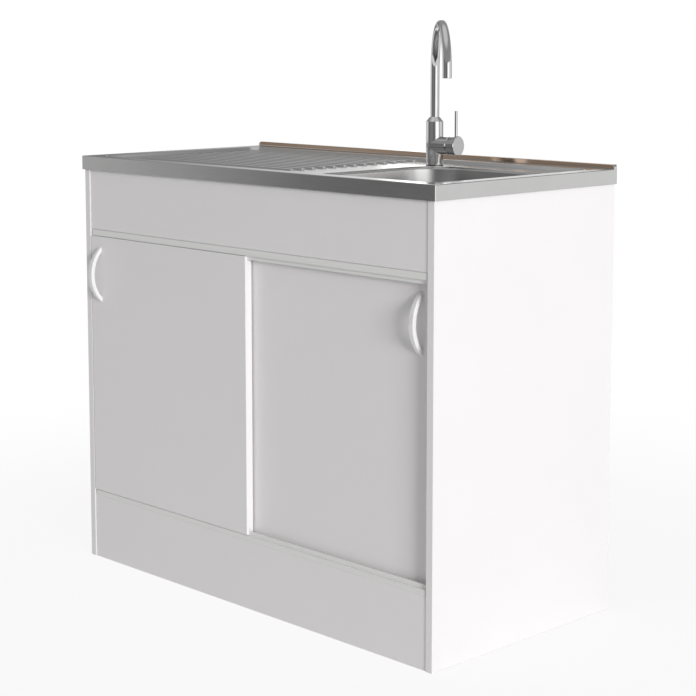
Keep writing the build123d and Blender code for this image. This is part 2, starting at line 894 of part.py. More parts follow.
with BuildPart() as sink_top:
    add(deck_outside)
    add(upstand_outside)
    add(deck_inside, mode=Mode.SUBTRACT)
    add(upstand_inside, mode=Mode.SUBTRACT)
    for hollow in hollows_outside:
        add(hollow)
    with BuildSketch(Plane.XY.offset(bowl_floor - sheet)):
        with Locations((bowl_x, bowl_y)):
            Circle(drain_dish_radius + sheet)
    extrude(amount=-drain_dish_depth)
    for hollow in hollows_inside:
        add(hollow, mode=Mode.SUBTRACT)
    # drainer ribs, hollow below like the rest of the pressing
    with BuildSketch(Plane.XY.offset(ledge)):
        with Locations((rib_x, rib_y)):
            with GridLocations(0, rib_pitch, 1, rib_count):
                SlotOverall(rib_length, rib_width)
    extrude(amount=rib_height, taper=rib_flank)
    with BuildSketch(Plane.XY.offset(ledge_under)):
        with Locations((rib_x, rib_y)):
            with GridLocations(0, rib_pitch, 1, rib_count):
                SlotOverall(rib_length - 2 * sheet, rib_width - 2 * sheet)
    extrude(amount=rib_height, taper=rib_flank, mode=Mode.SUBTRACT)
    # dish and hole of the waste, and the tap hole
    with BuildSketch(Plane.XY.offset(bowl_floor)):
        with Locations((bowl_x, bowl_y)):
            Circle(drain_dish_radius)
    extrude(amount=-drain_dish_depth, mode=Mode.SUBTRACT)
    with BuildSketch(Plane.XY.offset(bowl_floor)):
        with Locations((bowl_x, bowl_y)):
            Circle(drain_hole_radius)
    extrude(amount=-bowl_depth / 2, mode=Mode.SUBTRACT)
    with BuildSketch(Plane.XY.offset(deck_height)):
        with Locations((tap_x, tap_y)):
            Circle(tap_hole_radius)
    extrude(amount=-2 * recess_depth, mode=Mode.SUBTRACT)
save(sink_top.part, "sink_top")


# ================================================================ brackets that hold the top
def top_bracket(x, wall_y, out):
    """An angle with its upright leg on a board's face at wall_y and its flat leg under the recess."""
    with BuildPart() as bracket:
        with BuildSketch(Plane((x, wall_y, ledge_under), x_dir=(0, out, 0), z_dir=(out, 0, 0))):
            # local x points away from the board, and local y is up
            with BuildLine():
                Polyline(
                    (0, 0),
                    (bracket_leg, 0),
                    (bracket_leg, -bracket_thickness),
                    (bracket_thickness, -bracket_thickness),
                    (bracket_thickness, -bracket_rise),
                    (0, -bracket_rise),
                    close=True,
                )
            make_face()
        extrude(amount=bracket_width / 2, both=True)
        with BuildSketch(Plane((x, wall_y, bracket_screw_z), z_dir=(0, out, 0))):
            Circle(wood_screw_radius + fixed_gap)
        extrude(amount=bracket_thickness, mode=Mode.SUBTRACT)
    return bracket.part


def wood_screw(start, direction):
    """A pan-head screw whose head lies on the face at start, the shank running along direction."""
    face = Plane(start, z_dir=direction)
    with BuildPart() as screw:
        with BuildSketch(face):
            Circle(wood_screw_head_radius)
        extrude(amount=-wood_screw_head)
        with BuildSketch(face):
            Circle(wood_screw_radius)
        extrude(amount=wood_screw_length - wood_screw_point)
        with BuildSketch(face.offset(wood_screw_length - wood_screw_point)):
            Circle(wood_screw_radius)
        extrude(amount=wood_screw_point, taper=wood_screw_taper)
    return screw.part


brackets = []
bracket_screws = []
for x, wall_y, out in bracket_sites:
    brackets.append(top_bracket(x, wall_y, out))
    head_y = wall_y + out * bracket_thickness
    bracket_screws.append(wood_screw((x, head_y, bracket_screw_z), (0, -out, 0)))
save(gather(brackets), "top_brackets")
save(gather(bracket_screws), "bracket_screws")


# ================================================================ waste
def turned(origin, axis_dir, radial_dir, points):
    """A piece turned about an axis through origin; points are (radius, distance along the axis)."""
    across = Vector(*radial_dir).cross(Vector(*axis_dir))
    with BuildPart() as piece:
        with BuildSketch(Plane(origin, x_dir=radial_dir, z_dir=across)):
            with BuildLine():
                Polyline(*points, close=True)
            make_face()
        revolve(axis=Axis(origin, axis_dir))
    return piece.part


UP = (0, 0, 1)
RIGHT = (1, 0, 0)
BACK = (0, 1, 0)
drain = (bowl_x, bowl_y, 0)
lip_top = waste_floor + flange_thickness
plate_z = waste_floor - throat_depth
cup_top = waste_floor - sheet - gasket_thickness
cup_floor = cup_top - waste_cup_depth
cup_inner = waste_cup_radius - waste_wall

with BuildPart() as waste_flange:
    add(
        turned(
            drain,
            UP,
            RIGHT,
            [
                (0, plate_z),
                (throat_radius + sheet, plate_z),
                (throat_radius + sheet, waste_floor),
                (flange_radius, waste_floor),
                (flange_radius, lip_top),
                (throat_radius, lip_top),
                (throat_radius, plate_z + flange_thickness),
                (0, plate_z + flange_thickness),
            ],
        )
    )
    with BuildSketch(Plane.XY.offset(plate_z)):
        with Locations((bowl_x, bowl_y)):
            Circle(waste_screw_radius + fixed_gap)
            for ring_radius, count, hole_radius in zip(
                plate_ring_radii, plate_ring_counts, plate_hole_radii
            ):
                with PolarLocations(ring_radius, count):
                    Circle(hole_radius)
    extrude(amount=flange_thickness, mode=Mode.SUBTRACT)
save(waste_flange.part, "waste_flange")

with BuildPart() as waste_gasket:
    with BuildSketch(Plane.XY.offset(cup_top)):
        with Locations((bowl_x, bowl_y)):
            Circle(flange_radius)
            Circle(cup_inner, mode=Mode.SUBTRACT)
    extrude(amount=gasket_thickness)
save(waste_gasket.part, "waste_gasket")

spider_z = plate_z - waste_spider_drop
with BuildPart() as waste_body:
    add(
        turned(
            drain,
            UP,
            RIGHT,
            [
                (flange_radius, cup_top),
                (flange_radius, cup_top - waste_wall),
                (waste_cup_radius, cup_top - 2 * waste_wall),
                (waste_cup_radius, cup_floor + waste_cup_depth / 3),
                (waste_tail_radius, cup_floor),
                (waste_tail_radius, tail_end),
                (waste_tail_radius - waste_wall, tail_end),
                (waste_tail_radius - waste_wall, cup_floor + waste_wall),
                (cup_inner, cup_floor + waste_cup_depth / 3 + waste_wall),
                (cup_inner, cup_top),
            ],
        )
    )
    with BuildSketch(Plane.XY.offset(spider_z)):
        with Locations((bowl_x, bowl_y)):
            Rectangle(2 * cup_inner + waste_wall, 2 * waste_wall)
            Rectangle(2 * waste_wall, 2 * cup_inner + waste_wall)
            Circle(3 * waste_screw_radius)
            Circle(waste_screw_radius + fixed_gap, mode=Mode.SUBTRACT)
    extrude(amount=-2 * waste_wall)
save(waste_body.part, "waste_body")

screw_top = plate_z + flange_thickness
with BuildPart() as waste_screw:
    with BuildSketch(Plane.XY.offset(screw_top)):
        with Locations((bowl_x, bowl_y)):
            Circle(waste_screw_head_radius)
    extrude(amount=waste_screw_radius)
    with BuildSketch(Plane.XY.offset(screw_top + waste_screw_radius)):
        with Locations((bowl_x, bowl_y)):
            Rectangle(2 * waste_screw_head_radius, screw_slot)
    extrude(amount=-waste_screw_radius / 2, mode=Mode.SUBTRACT)
    with BuildSketch(Plane.XY.offset(screw_top)):
        with Locations((bowl_x, bowl_y)):
            Circle(waste_screw_radius)
    extrude(amount=spider_z - 2 * waste_wall - screw_top)
save(waste_screw.part, "waste_screw")

rim_low = lip_top + slide_gap
basket_low = rim_low - basket_depth
knob_top = rim_low + basket_knob_height
knob_low = knob_top - basket_knob_edge - basket_knob_band
with BuildPart() as strainer_basket:
    add(
        turned(
            drain,
            UP,
            RIGHT,
            [
                (0, basket_low),
                (basket_radius - basket_corner, basket_low),
                (basket_radius, basket_low + basket_corner),
                (basket_radius, rim_low),
                (throat_radius + basket_rim, rim_low),
                (throat_radius + basket_rim, rim_low + sheet),
                (basket_radius - sheet, rim_low + sheet),
                (basket_radius - sheet, basket_low + basket_corner + sheet / 2),
                (basket_radius - basket_corner - sheet / 2, basket_low + sheet),
                (basket_stem_radius, basket_low + sheet),
                (basket_stem_radius, knob_low - basket_knob_band),
                (basket_knob_radius, knob_low),
                (basket_knob_radius, knob_top - basket_knob_edge),
                (basket_knob_radius - basket_knob_edge, knob_top),
                (0, knob_top),
            ],
        )
    )
    with BuildSketch(Plane.XY.offset(basket_low)):
        with Locations((bowl_x, bowl_y)):
            for ring_radius, count in zip(basket_ring_radii, basket_ring_counts):
                with PolarLocations(ring_radius, count):
                    Circle(basket_hole_radius)
    extrude(amount=sheet, mode=Mode.SUBTRACT)
save(strainer_basket.part, "strainer_basket")

# ---- bottle trap
socket_radius = pipe_radius + waste_wall + fixed_gap
socket_top = tail_end + socket_depth
head_top = outlet_z + trap_head_height / 2
head_bottom = outlet_z - trap_head_height / 2
head_inner = trap_head_radius - waste_wall
cup_outer = head_inner - fixed_gap
outlet_end = bowl_y + trap_head_radius + trap_arm
outlet_axis = (bowl_x, 0, outlet_z)

with BuildPart() as trap_body:
    add(
        turned(
            drain,
            UP,
            RIGHT,
            [
                (0, head_bottom),
                (trap_head_radius, head_bottom),
                (trap_head_radius, head_top - trap_shoulder),
                (socket_radius, head_top),
                (socket_radius, socket_top),
                (0, socket_top),
            ],
        )
    )
    with BuildSketch(Plane.XZ.offset(-bowl_y)):
        with Locations((bowl_x, outlet_z)):
            Circle(socket_radius)
    extrude(amount=-(outlet_end - bowl_y))
    add(
        turned(
            drain,
            UP,
            RIGHT,
            [
                (0, head_bottom),
                (head_inner, head_bottom),
                (head_inner, head_top - trap_shoulder - waste_wall),
                (pipe_radius, head_top - waste_wall),
                (0, head_top - waste_wall),
            ],
        ),
        mode=Mode.SUBTRACT,
    )
    with BuildSketch(Plane.XZ.offset(-bowl_y)):
        with Locations((bowl_x, outlet_z)):
            Circle(pipe_radius - waste_wall)
    extrude(amount=-(outlet_end - bowl_y), mode=Mode.SUBTRACT)
    with BuildSketch(Plane.XZ.offset(-outlet_end)):
        with Locations((bowl_x, outlet_z)):
            Circle(pipe_radius + fixed_gap)
    extrude(amount=socket_depth, mode=Mode.SUBTRACT)
    # dip tube, from the socket's shoulder down into the cup
    dip_end = head_bottom - trap_cup_length / 2
    with BuildSketch(Plane.XY.offset(dip_end)):
        with Locations((bowl_x, bowl_y)):
            Circle(pipe_radius - waste_wall)
    extrude(amount=socket_top - dip_end)
    with BuildSketch(Plane.XY.offset(dip_end)):
        with Locations((bowl_x, bowl_y)):
            Circle(pipe_radius - 2 * waste_wall)
    extrude(amount=socket_top - dip_end, mode=Mode.SUBTRACT)
    with BuildSketch(Plane.XY.offset(tail_end)):
        with Locations((bowl_x, bowl_y)):
            Circle(pipe_radius + fixed_gap)
    extrude(amount=socket_depth, mode=Mode.SUBTRACT)
save(trap_body.part, "trap_body")

cup_bottom = head_bottom - trap_cup_length
with BuildPart() as trap_cup:
    add(
        turned(
            drain,
            UP,
            RIGHT,
            [
                (0, cup_bottom),
                (trap_cup_radius - trap_round, cup_bottom),
                (trap_cup_radius, cup_bottom + trap_round),
                (trap_cup_radius, head_bottom - trap_flange),
                (trap_head_radius, head_bottom - trap_flange),
                (trap_head_radius, head_bottom),
                (cup_outer, head_bottom),
                (cup_outer, head_bottom + trap_thread),
                (cup_outer - waste_wall, head_bottom + trap_thread),
                (cup_outer - waste_wall, cup_bottom + waste_wall + trap_round),
                (trap_cup_radius - waste_wall - trap_round, cup_bottom + waste_wall),
                (0, cup_bottom + waste_wall),
            ],
        )
    )
    with BuildSketch(Plane.XY.offset(cup_bottom + trap_round)):
        with Locations((bowl_x, bowl_y)):
            with PolarLocations(trap_cup_radius, cup_rib_count):
                Circle(cup_rib_radius)
            Circle(trap_cup_radius - waste_wall / 2, mode=Mode.SUBTRACT)
    extrude(amount=trap_cup_length - trap_round - trap_flange)
save(trap_cup.part, "trap_cup")


def union_nut(origin, axis_dir, radial_dir, mouth):
    """A plastic union nut round a socket whose end is at mouth along the axis, its lip outside."""
    blank = turned(
        origin,
        axis_dir,
        radial_dir,
        [
            (socket_radius + fixed_gap, mouth - nut_length),
            (nut_radius - nut_edge, mouth - nut_length),
            (nut_radius, mouth - nut_length + nut_edge),
            (nut_radius, mouth),
            (nut_radius - 2 * waste_wall, mouth + waste_wall),
            (pipe_radius + 2 * fixed_gap, mouth + waste_wall),
            (pipe_radius + 2 * fixed_gap, mouth + fixed_gap),
            (socket_radius + fixed_gap, mouth + fixed_gap),
        ],
    )
    start = Vector(*origin) + Vector(*axis_dir) * (mouth - nut_length)
    with BuildPart() as nut:
        add(blank)
        with BuildSketch(Plane(start, x_dir=radial_dir, z_dir=axis_dir)):
            groove_axis = nut_radius + nut_groove_radius - nut_groove_depth
            with PolarLocations(groove_axis, nut_groove_count):
                Circle(nut_groove_radius)
        extrude(amount=nut_length + waste_wall, mode=Mode.SUBTRACT)
    return nut.part


save(union_nut(drain, UP, RIGHT, socket_top), "trap_inlet_nut")
save(union_nut(outlet_axis, BACK, RIGHT, outlet_end), "trap_outlet_nut")

with BuildPart() as waste_pipe:
    with BuildSketch(Plane.XZ.offset(-(outlet_end - socket_depth + fixed_gap))):
        with Locations((bowl_x, outlet_z)):
            Circle(pipe_radius)
            Circle(pipe_radius - pipe_wall, mode=Mode.SUBTRACT)
    extrude(amount=-(top_back - outlet_end + socket_depth - fixed_gap))
    with BuildSketch(Plane.XZ.offset(pipe_mark_from_end - top_back)):
        with Locations((bowl_x, outlet_z)):
            Circle(pipe_radius)
            Circle(pipe_radius - pipe_mark_depth, mode=Mode.SUBTRACT)
    extrude(amount=pipe_mark_width, mode=Mode.SUBTRACT)
save(waste_pipe.part, "waste_pipe")

# ================================================================ tap
tap = (tap_x, tap_y, tap_base)
spout_way = (cos(radians(spout_aim)), sin(radians(spout_aim)), 0)
lever_way = (cos(radians(lever_aim)), sin(radians(lever_aim)), 0)
lever_across = (sin(radians(lever_aim)), -cos(radians(lever_aim)), 0)
lever_origin = (tap_x, tap_y, lever_z)
lever_side = Plane(lever_origin, x_dir=lever_way, z_dir=lever_across)  # local x outwards, y up
neck_z = tap_body_height - tap_shoulder
bush_low = tap_body_height - spout_socket
bush_radius = spout_radius + bush_wall
bush_top = neck_z - bush_below_neck
knob_start = stub_reach + knob_gap
stub_rim_radius = stub_radius - knob_wall + fixed_gap

with BuildPart() as tap_body:
    add(
        turned(
            tap,
            UP,
            RIGHT,
            [
                (0, 0),
                (tap_body_radius, 0),
                (tap_body_radius, neck_z),
                (tap_neck_radius, tap_body_height),
                (0, tap_body_height),
            ],
        )
    )
    add(
        turned(
            lever_origin,
            lever_way,
            UP,
            [
                (0, 0),
                (stub_radius, 0),
                (stub_radius, stub_reach - stub_rim_run),
                (stub_rim_radius, stub_reach),
                (0, stub_reach),
            ],
        )
    )
    add(
        turned(
            lever_origin,
            lever_way,
            UP,
            [
                (0, cartridge_floor),
                (cartridge_radius + fixed_gap, cartridge_floor),
                (cartridge_radius + fixed_gap, stub_reach),
                (0, stub_reach),
            ],
        ),
        mode=Mode.SUBTRACT,
    )
    add(
        turned(
            tap,
            UP,
            RIGHT,
            [
                (0, bush_low),
                (bush_radius + fixed_gap, bush_low),
                (bush_radius + fixed_gap, bush_top),
                (spout_radius + running_gap, bush_top),
                (spout_radius + running_gap, tap_body_height),
                (0, tap_body_height),
            ],
        ),
        mode=Mode.SUBTRACT,
    )
    # water way from the cartridge up to the spout
    with BuildSketch(Plane(tap).offset(lever_axis_height - tap_seal_thickness)):
        Circle(spout_radius - 2 * spout_wall)
    extrude(amount=bush_low - lever_axis_height + 2 * tap_seal_thickness, mode=Mode.SUBTRACT)
    # seat of the shank and the two hose inlets above it
    with BuildSketch(Plane(tap)):
        Circle(shank_radius + fixed_gap)
    extrude(amount=shank_seat, mode=Mode.SUBTRACT)
    with BuildSketch(Plane(tap).offset(shank_seat)):
        with GridLocations(inlet_spacing, 0, 2, 1):
            Circle(inlet_thread_radius)
    extrude(amount=inlet_thread_depth, mode=Mode.SUBTRACT)
    with BuildSketch(Plane(tap).offset(shank_seat)):
        with GridLocations(inlet_spacing, 0, 2, 1):
            Circle(inlet_thread_radius / 2)
    extrude(amount=lever_axis_height - cartridge_radius - shank_seat, mode=Mode.SUBTRACT)
save(tap_body.part, "tap_body")


def ring(outer, inner, z_low, thickness):
    """A flat ring round the tap's axis."""
    with BuildPart() as washer:
        with BuildSketch(Plane((tap_x, tap_y, z_low))):
            Circle(outer)
            Circle(inner, mode=Mode.SUBTRACT)
        extrude(amount=thickness)
    return washer.part


save(
    ring(tap_body_radius - tap_seal_inset, shank_radius + free_gap, ledge, tap_seal_thickness),
    "tap_base_seal",
)
save(
    ring(shank_radius, shank_bore_radius, tap_base + shank_seat - shank_length, shank_length),
    "tap_shank",
)
rubber_low = ledge_under - rubber_thickness
washer_low = rubber_low - washer_thickness
save(ring(washer_radius, shank_radius + free_gap, rubber_low, rubber_thickness), "tap_rubber_ring")
save(ring(washer_radius, shank_radius + free_gap, washer_low, washer_thickness), "tap_washer")
with BuildPart() as tap_nut:
    with BuildSketch(Plane((tap_x, tap_y, washer_low))):
        RegularPolygon(tap_nut_radius, 6)
        Circle(shank_radius + fixed_gap, mode=Mode.SUBTRACT)
    extrude(amount=-tap_nut_thickness)
save(tap_nut.part, "tap_nut")

with BuildPart() as spout_bush:
    with BuildSketch(Plane(tap).offset(bush_low)):
        Circle(bush_radius)
        Circle(spout_radius + running_gap, mode=Mode.SUBTRACT)
    extrude(amount=bush_top - bush_low)
save(spout_bush.part, "spout_bush")

spout_low = tap_base + bush_low + slide_gap
arch_z = ledge + spout_arch_height
arch_radius = spout_reach / 2
tube_end = arch_z - spout_tip + aerator_collar
spout_plane = Plane(
    (tap_x, tap_y, 0), x_dir=spout_way, z_dir=Vector(*spout_way).cross(Vector(0, 0, 1))
)
with BuildPart() as spout:
    with BuildLine(spout_plane):
        Line((0, spout_low), (0, arch_z))
        ThreePointArc((0, arch_z), (arch_radius, arch_z + arch_radius), (spout_reach, arch_z))
        Line((spout_reach, arch_z), (spout_reach, tube_end))
    with BuildSketch(Plane((tap_x, tap_y, spout_low))):
        Circle(spout_radius)
        Circle(spout_radius - spout_wall, mode=Mode.SUBTRACT)
    sweep()
save(spout.part, "spout")

nozzle_x = tap_x + spout_reach * spout_way[0]
nozzle_y = tap_y + spout_reach * spout_way[1]
nozzle = (nozzle_x, nozzle_y, tube_end)
insert_radius = spout_radius - spout_wall - fixed_gap
with BuildPart() as aerator:
    add(
        turned(
            nozzle,
            UP,
            RIGHT,
            [
                (0, -aerator_face),
                (insert_radius - aerator_face, -aerator_face),
                (insert_radius - aerator_edge, -aerator_collar),
                (spout_radius - aerator_edge, -aerator_collar),
                (spout_radius, aerator_edge - aerator_collar),
                (spout_radius, 0),
                (insert_radius, 0),
                (insert_radius, aerator_insert),
                (insert_radius - aerator_wall, aerator_insert),
                (insert_radius - aerator_wall, 0),
                (0, 0),
            ],
        )
    )
    with BuildSketch(Plane(nozzle).offset(-aerator_face)):
        with GridLocations(aerator_hole_pitch, aerator_hole_pitch, 3, 3):
            Circle(aerator_hole_radius)
    extrude(amount=aerator_face, mode=Mode.SUBTRACT)
save(aerator.part, "aerator")

# ---- cartridge, lever and knob, all about the lever axis
guide_radius = cartridge_radius - cartridge_wall
with BuildPart() as cartridge:
    add(
        turned(
            lever_origin,
            lever_way,
            UP,
            [
                (0, cartridge_floor + fixed_gap),
                (cartridge_radius, cartridge_floor + fixed_gap),
                (cartridge_radius, cartridge_mouth),
                (guide_radius, cartridge_mouth),
                (guide_radius, guide_floor),
                (0, guide_floor),
            ],
        )
    )
save(cartridge.part, "mixer_cartridge")

with BuildPart() as cartridge_ring:
    add(
        turned(
            lever_origin,
            lever_way,
            UP,
            [
                (ring_opening, cartridge_mouth + fixed_gap),
                (cartridge_radius, cartridge_mouth + fixed_gap),
                (cartridge_radius, cartridge_mouth + ring_thickness),
                (ring_opening + ring_edge, cartridge_mouth + ring_thickness),
            ],
        )
    )
save(cartridge_ring.part, "cartridge_ring")

guide_low = guide_floor + slide_gap
guide_high = cartridge_mouth - slide_gap
slot_floor = guide_low + guide_base
with BuildPart() as lever_guide:
    add(
        turned(
            lever_origin,
            lever_way,
            UP,
            [
                (0, guide_low),
                (guide_radius - running_gap, guide_low),
                (guide_radius - running_gap, guide_high),
                (0, guide_high),
            ],
        )
    )
    with BuildSketch(lever_side):
        with Locations(((slot_floor + guide_high) / 2, 0)):
            Rectangle(guide_high - slot_floor, 2 * guide_radius)
    extrude(amount=stem_radius + slide_gap, both=True, mode=Mode.SUBTRACT)
    with BuildSketch(lever_side):
        with Locations((pivot_reach, 0)):
            Circle(pivot_pin_radius)
    extrude(amount=guide_radius, both=True, mode=Mode.SUBTRACT)
save(lever_guide.part, "lever_guide")

with BuildPart() as pivot_pin:
    with BuildSketch(lever_side):
        with Locations((pivot_reach, 0)):
            Circle(pivot_pin_radius)
    extrude(amount=sqrt(guide_radius**2 - pivot_pin_radius**2) - free_gap, both=True)
save(pivot_pin.part, "pivot_pin")

knob_face = knob_start + knob_length
cavity_end = knob_start + knob_cavity
stem_start = pivot_reach - stem_behind_pivot
stem_end = knob_face - knob_cap
with BuildPart() as lever_stem:
    add(
        turned(
            lever_origin,
            lever_way,
            UP,
            [
                (0, stem_start),
                (stem_radius, stem_start),
                (stem_radius, stem_end),
                (0, stem_end),
            ],
        )
    )
    with BuildSketch(lever_side):
        with Locations((pivot_reach, 0)):
            Circle(pivot_pin_radius + running_gap)
    extrude(amount=stem_radius, both=True, mode=Mode.SUBTRACT)
save(lever_stem.part, "lever_stem")

knob_pin_x = knob_face - lever_pin_from_face
grub_x = cavity_end + grub_from_cavity
pin_foot = stem_radius + lever_pin_foot
with BuildPart() as mixer_knob:
    add(
        turned(
            lever_origin,
            lever_way,
            UP,
            [
                (stub_radius - knob_wall, knob_start),
                (stub_radius, knob_start),
                (knob_face_radius, knob_face - knob_edge),
                (knob_face_radius - knob_edge, knob_face),
                (0, knob_face),
                (0, stem_end + fixed_gap),
                (stem_radius + fixed_gap, stem_end + fixed_gap),
                (stem_radius + fixed_gap, cavity_end),
                (stub_radius - knob_wall, cavity_end),
            ],
        )
    )
    pin_plane = Plane(
        (lever_side * Pos(knob_pin_x, pin_foot, 0)).position, x_dir=lever_way, z_dir=UP
    )
    with BuildSketch(pin_plane):
        Circle(lever_pin_radius + fixed_gap)
    extrude(amount=knob_face_radius, mode=Mode.SUBTRACT)
    grub_plane = Plane(
        (lever_side * Pos(grub_x, 0, 0)).position, x_dir=lever_way, z_dir=(0, 0, -1)
    )
    with BuildSketch(grub_plane):
        Circle(grub_radius + fixed_gap)
    extrude(amount=knob_face_radius, mode=Mode.SUBTRACT)
save(mixer_knob.part, "mixer_knob")

with BuildPart() as lever_pin:
    with BuildSketch(pin_plane):
        Circle(lever_pin_radius)
    extrude(amount=knob_face_radius + lever_pin_length - pin_foot)
    chamfer(lever_pin.edges().group_by(Axis.Z)[-1], lever_pin_edge)
save(lever_pin.part, "lever_pin")

with BuildPart() as knob_screw:
    with BuildSketch(grub_plane.offset(stem_radius + fixed_gap)):
        Circle(grub_radius)
    extrude(amount=stub_radius - stem_radius - fixed_gap - grub_sunk)
    with BuildSketch(grub_plane.offset(stub_radius - grub_sunk)):
        RegularPolygon(grub_socket_radius, 6)
    extrude(amount=-grub_sunk, mode=Mode.SUBTRACT)
save(knob_screw.part, "knob_screw")
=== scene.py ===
"""Looks of the kitchen sink unit: a steel top with bowl and drainer, a mixer tap, the waste under
it and a white cabinet with two sliding doors.

Metres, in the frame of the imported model: +X to the right along the front, +Y towards the wall.
"""

import json
import math

import bmesh
import bpy
from bpy.props import FloatProperty, FloatVectorProperty, IntProperty, PointerProperty
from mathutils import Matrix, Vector
from mathutils.geometry import delaunay_2d_cdt


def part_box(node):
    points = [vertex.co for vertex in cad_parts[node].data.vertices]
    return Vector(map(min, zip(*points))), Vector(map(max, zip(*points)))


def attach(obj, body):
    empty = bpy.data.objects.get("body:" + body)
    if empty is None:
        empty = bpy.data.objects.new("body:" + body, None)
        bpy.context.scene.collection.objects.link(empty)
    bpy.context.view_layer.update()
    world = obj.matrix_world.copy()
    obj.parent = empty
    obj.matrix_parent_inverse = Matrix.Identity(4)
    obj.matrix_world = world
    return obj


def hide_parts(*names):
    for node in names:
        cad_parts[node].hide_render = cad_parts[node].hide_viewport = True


bl_info = {
    "name": "Kitchen sink unit",
    "version": (1, 0, 0),
    "blender": (4, 5, 0),
    "location": "View3D > Sidebar > Sink unit",
    "description": "Dresses the packed sink unit in steel, chrome and white melamine",
    "category": "Object",
}

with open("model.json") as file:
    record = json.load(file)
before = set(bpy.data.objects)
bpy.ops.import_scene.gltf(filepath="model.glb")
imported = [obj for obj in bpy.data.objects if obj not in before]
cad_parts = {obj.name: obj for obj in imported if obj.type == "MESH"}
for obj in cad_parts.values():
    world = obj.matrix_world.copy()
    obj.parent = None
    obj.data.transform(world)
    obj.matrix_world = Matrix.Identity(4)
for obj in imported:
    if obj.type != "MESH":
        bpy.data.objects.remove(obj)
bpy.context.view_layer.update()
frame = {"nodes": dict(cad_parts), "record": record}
nodes = frame["nodes"]
slot_of = {part["node"]: part["material_slot"] for part in frame["record"]["subparts"]}

MM = 0.001
INSIDE_ONLY = 1  # the kind of flat filling: no faces outside the outlines
ONE_POINT = 1e-7  # points nearer than this are one

# ---------------------------------------------------------------- sizes read from the frame
top_low, top_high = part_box("sink_top")
flange_low, flange_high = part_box("waste_flange")
seal_low, seal_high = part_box("tap_base_seal")
ledge_z = seal_low.z  # the recessed working area, where the tap stands
bowl_middle = Vector(
    ((flange_low.x + flange_high.x) / 2, (flange_low.y + flange_high.y) / 2, 0.0)
)
tap_axis = Vector(((seal_low.x + seal_high.x) / 2, (seal_low.y + seal_high.y) / 2, ledge_z))


# ---------------------------------------------------------------- what a user would change
class SinkTopSizes(bpy.types.PropertyGroup):
    """Sizes of the steel pressing."""

    sheet: FloatProperty(
        name="Sheet", description="Thickness of the steel", default=0.8 * MM, unit="LENGTH"
    )
    recess_depth: FloatProperty(
        name="Recess depth",
        description="Flat rim down to the working area",
        default=6 * MM,
        unit="LENGTH",
    )
    rim: FloatProperty(
        name="Rim", description="Flat rim at the front and sides", default=30 * MM, unit="LENGTH"
    )
    rim_back: FloatProperty(
        name="Rim at the back",
        description="Flat rim at the wall, upstand and all",
        default=45 * MM,
        unit="LENGTH",
    )
    bowl_width: FloatProperty(
        name="Bowl width", description="Left to right at the rim", default=310 * MM, unit="LENGTH"
    )
    bowl_length: FloatProperty(
        name="Bowl length", description="Front to back at the rim", default=330 * MM, unit="LENGTH"
    )
    bowl_depth: FloatProperty(
        name="Bowl depth", description="Rim to floor", default=150 * MM, unit="LENGTH"
    )
    rib_count: IntProperty(name="Ribs", description="Ribs of the drainer", default=13, min=1)
    rib_height: FloatProperty(
        name="Rib height", description="Crown above the drainer", default=3 * MM, unit="LENGTH"
    )


class FinishColours(bpy.types.PropertyGroup):
    """Colours of the finishes that show most."""

    melamine: FloatVectorProperty(
        name="Melamine",
        description="White of the boards",
        default=(0.85, 0.832, 0.842),
        subtype="COLOR",
        min=0,
        max=1,
    )
    steel: FloatVectorProperty(
        name="Steel",
        description="Stainless steel of the top",
        default=(0.58, 0.577, 0.575),
        subtype="COLOR",
        min=0,
        max=1,
    )
    chrome: FloatVectorProperty(
        name="Chrome",
        description="Plate of the tap",
        default=(0.6, 0.6, 0.605),
        subtype="COLOR",
        min=0,
        max=1,
    )
    # painted reflection: brown painted on the upstand's front, in place of the room that it would
    # mirror
    painted_reflection_brown: FloatVectorProperty(
        name="Painted reflection",
        description="Brown that the upstand mirrors from the room",
        default=(0.74, 0.54, 0.4),
        subtype="COLOR",
        min=0,
        max=1,
    )


class StudioSettings(bpy.types.PropertyGroup):
    """Light of the stage, in plain levels."""

    key_power: FloatProperty(
        name="Key light",
        description="Large soft lamp on the right",
        default=2900.0,
        unit="POWER",
        min=0,
    )
    room_level: FloatProperty(
        name="Room", description="Even light from all round", default=0.375, min=0, max=1
    )


# ---------------------------------------------------------------- mesh helpers
def object_of(name, mesh_data):
    """A new object of the scene from a finished mesh."""
    mesh = bpy.data.meshes.new(name)
    mesh_data.to_mesh(mesh)
    mesh_data.free()
    made = bpy.data.objects.new(name, mesh)
    bpy.context.scene.collection.objects.link(made)
    return made


def ring_of(mesh, points):
    """Vertices of one closed ring."""
    return [mesh.verts.new(p) for p in points]


def skin(mesh, rings):
    """Quads between rings that run the same way, from the outside in."""
    for outer, inner in zip(rings, rings[1:]):
        for k in range(len(outer)):
            following = (k + 1) % len(outer)
            mesh.faces.new((outer[k], outer[following], inner[following], inner[k]))


def fill_between(mesh, outlines):
    """Flat faces inside the first outline and outside all the others."""
    corners = [corner for outline in outlines for corner in outline]
    loops, first = [], 0
    for outline in outlines:
        loops.append(list(range(first, first + len(outline))))
        first += len(outline)
    flat = [corner.co.xy.copy() for corner in corners]
    _, _, triangles, sources, _, within = delaunay_2d_cdt(
        flat, [], loops, INSIDE_ONLY, ONE_POINT
    )
    for triangle, around in zip(triangles, within):
        if list(around) == [0]:
            mesh.faces.new([corners[sources[k][0]] for k in triangle])


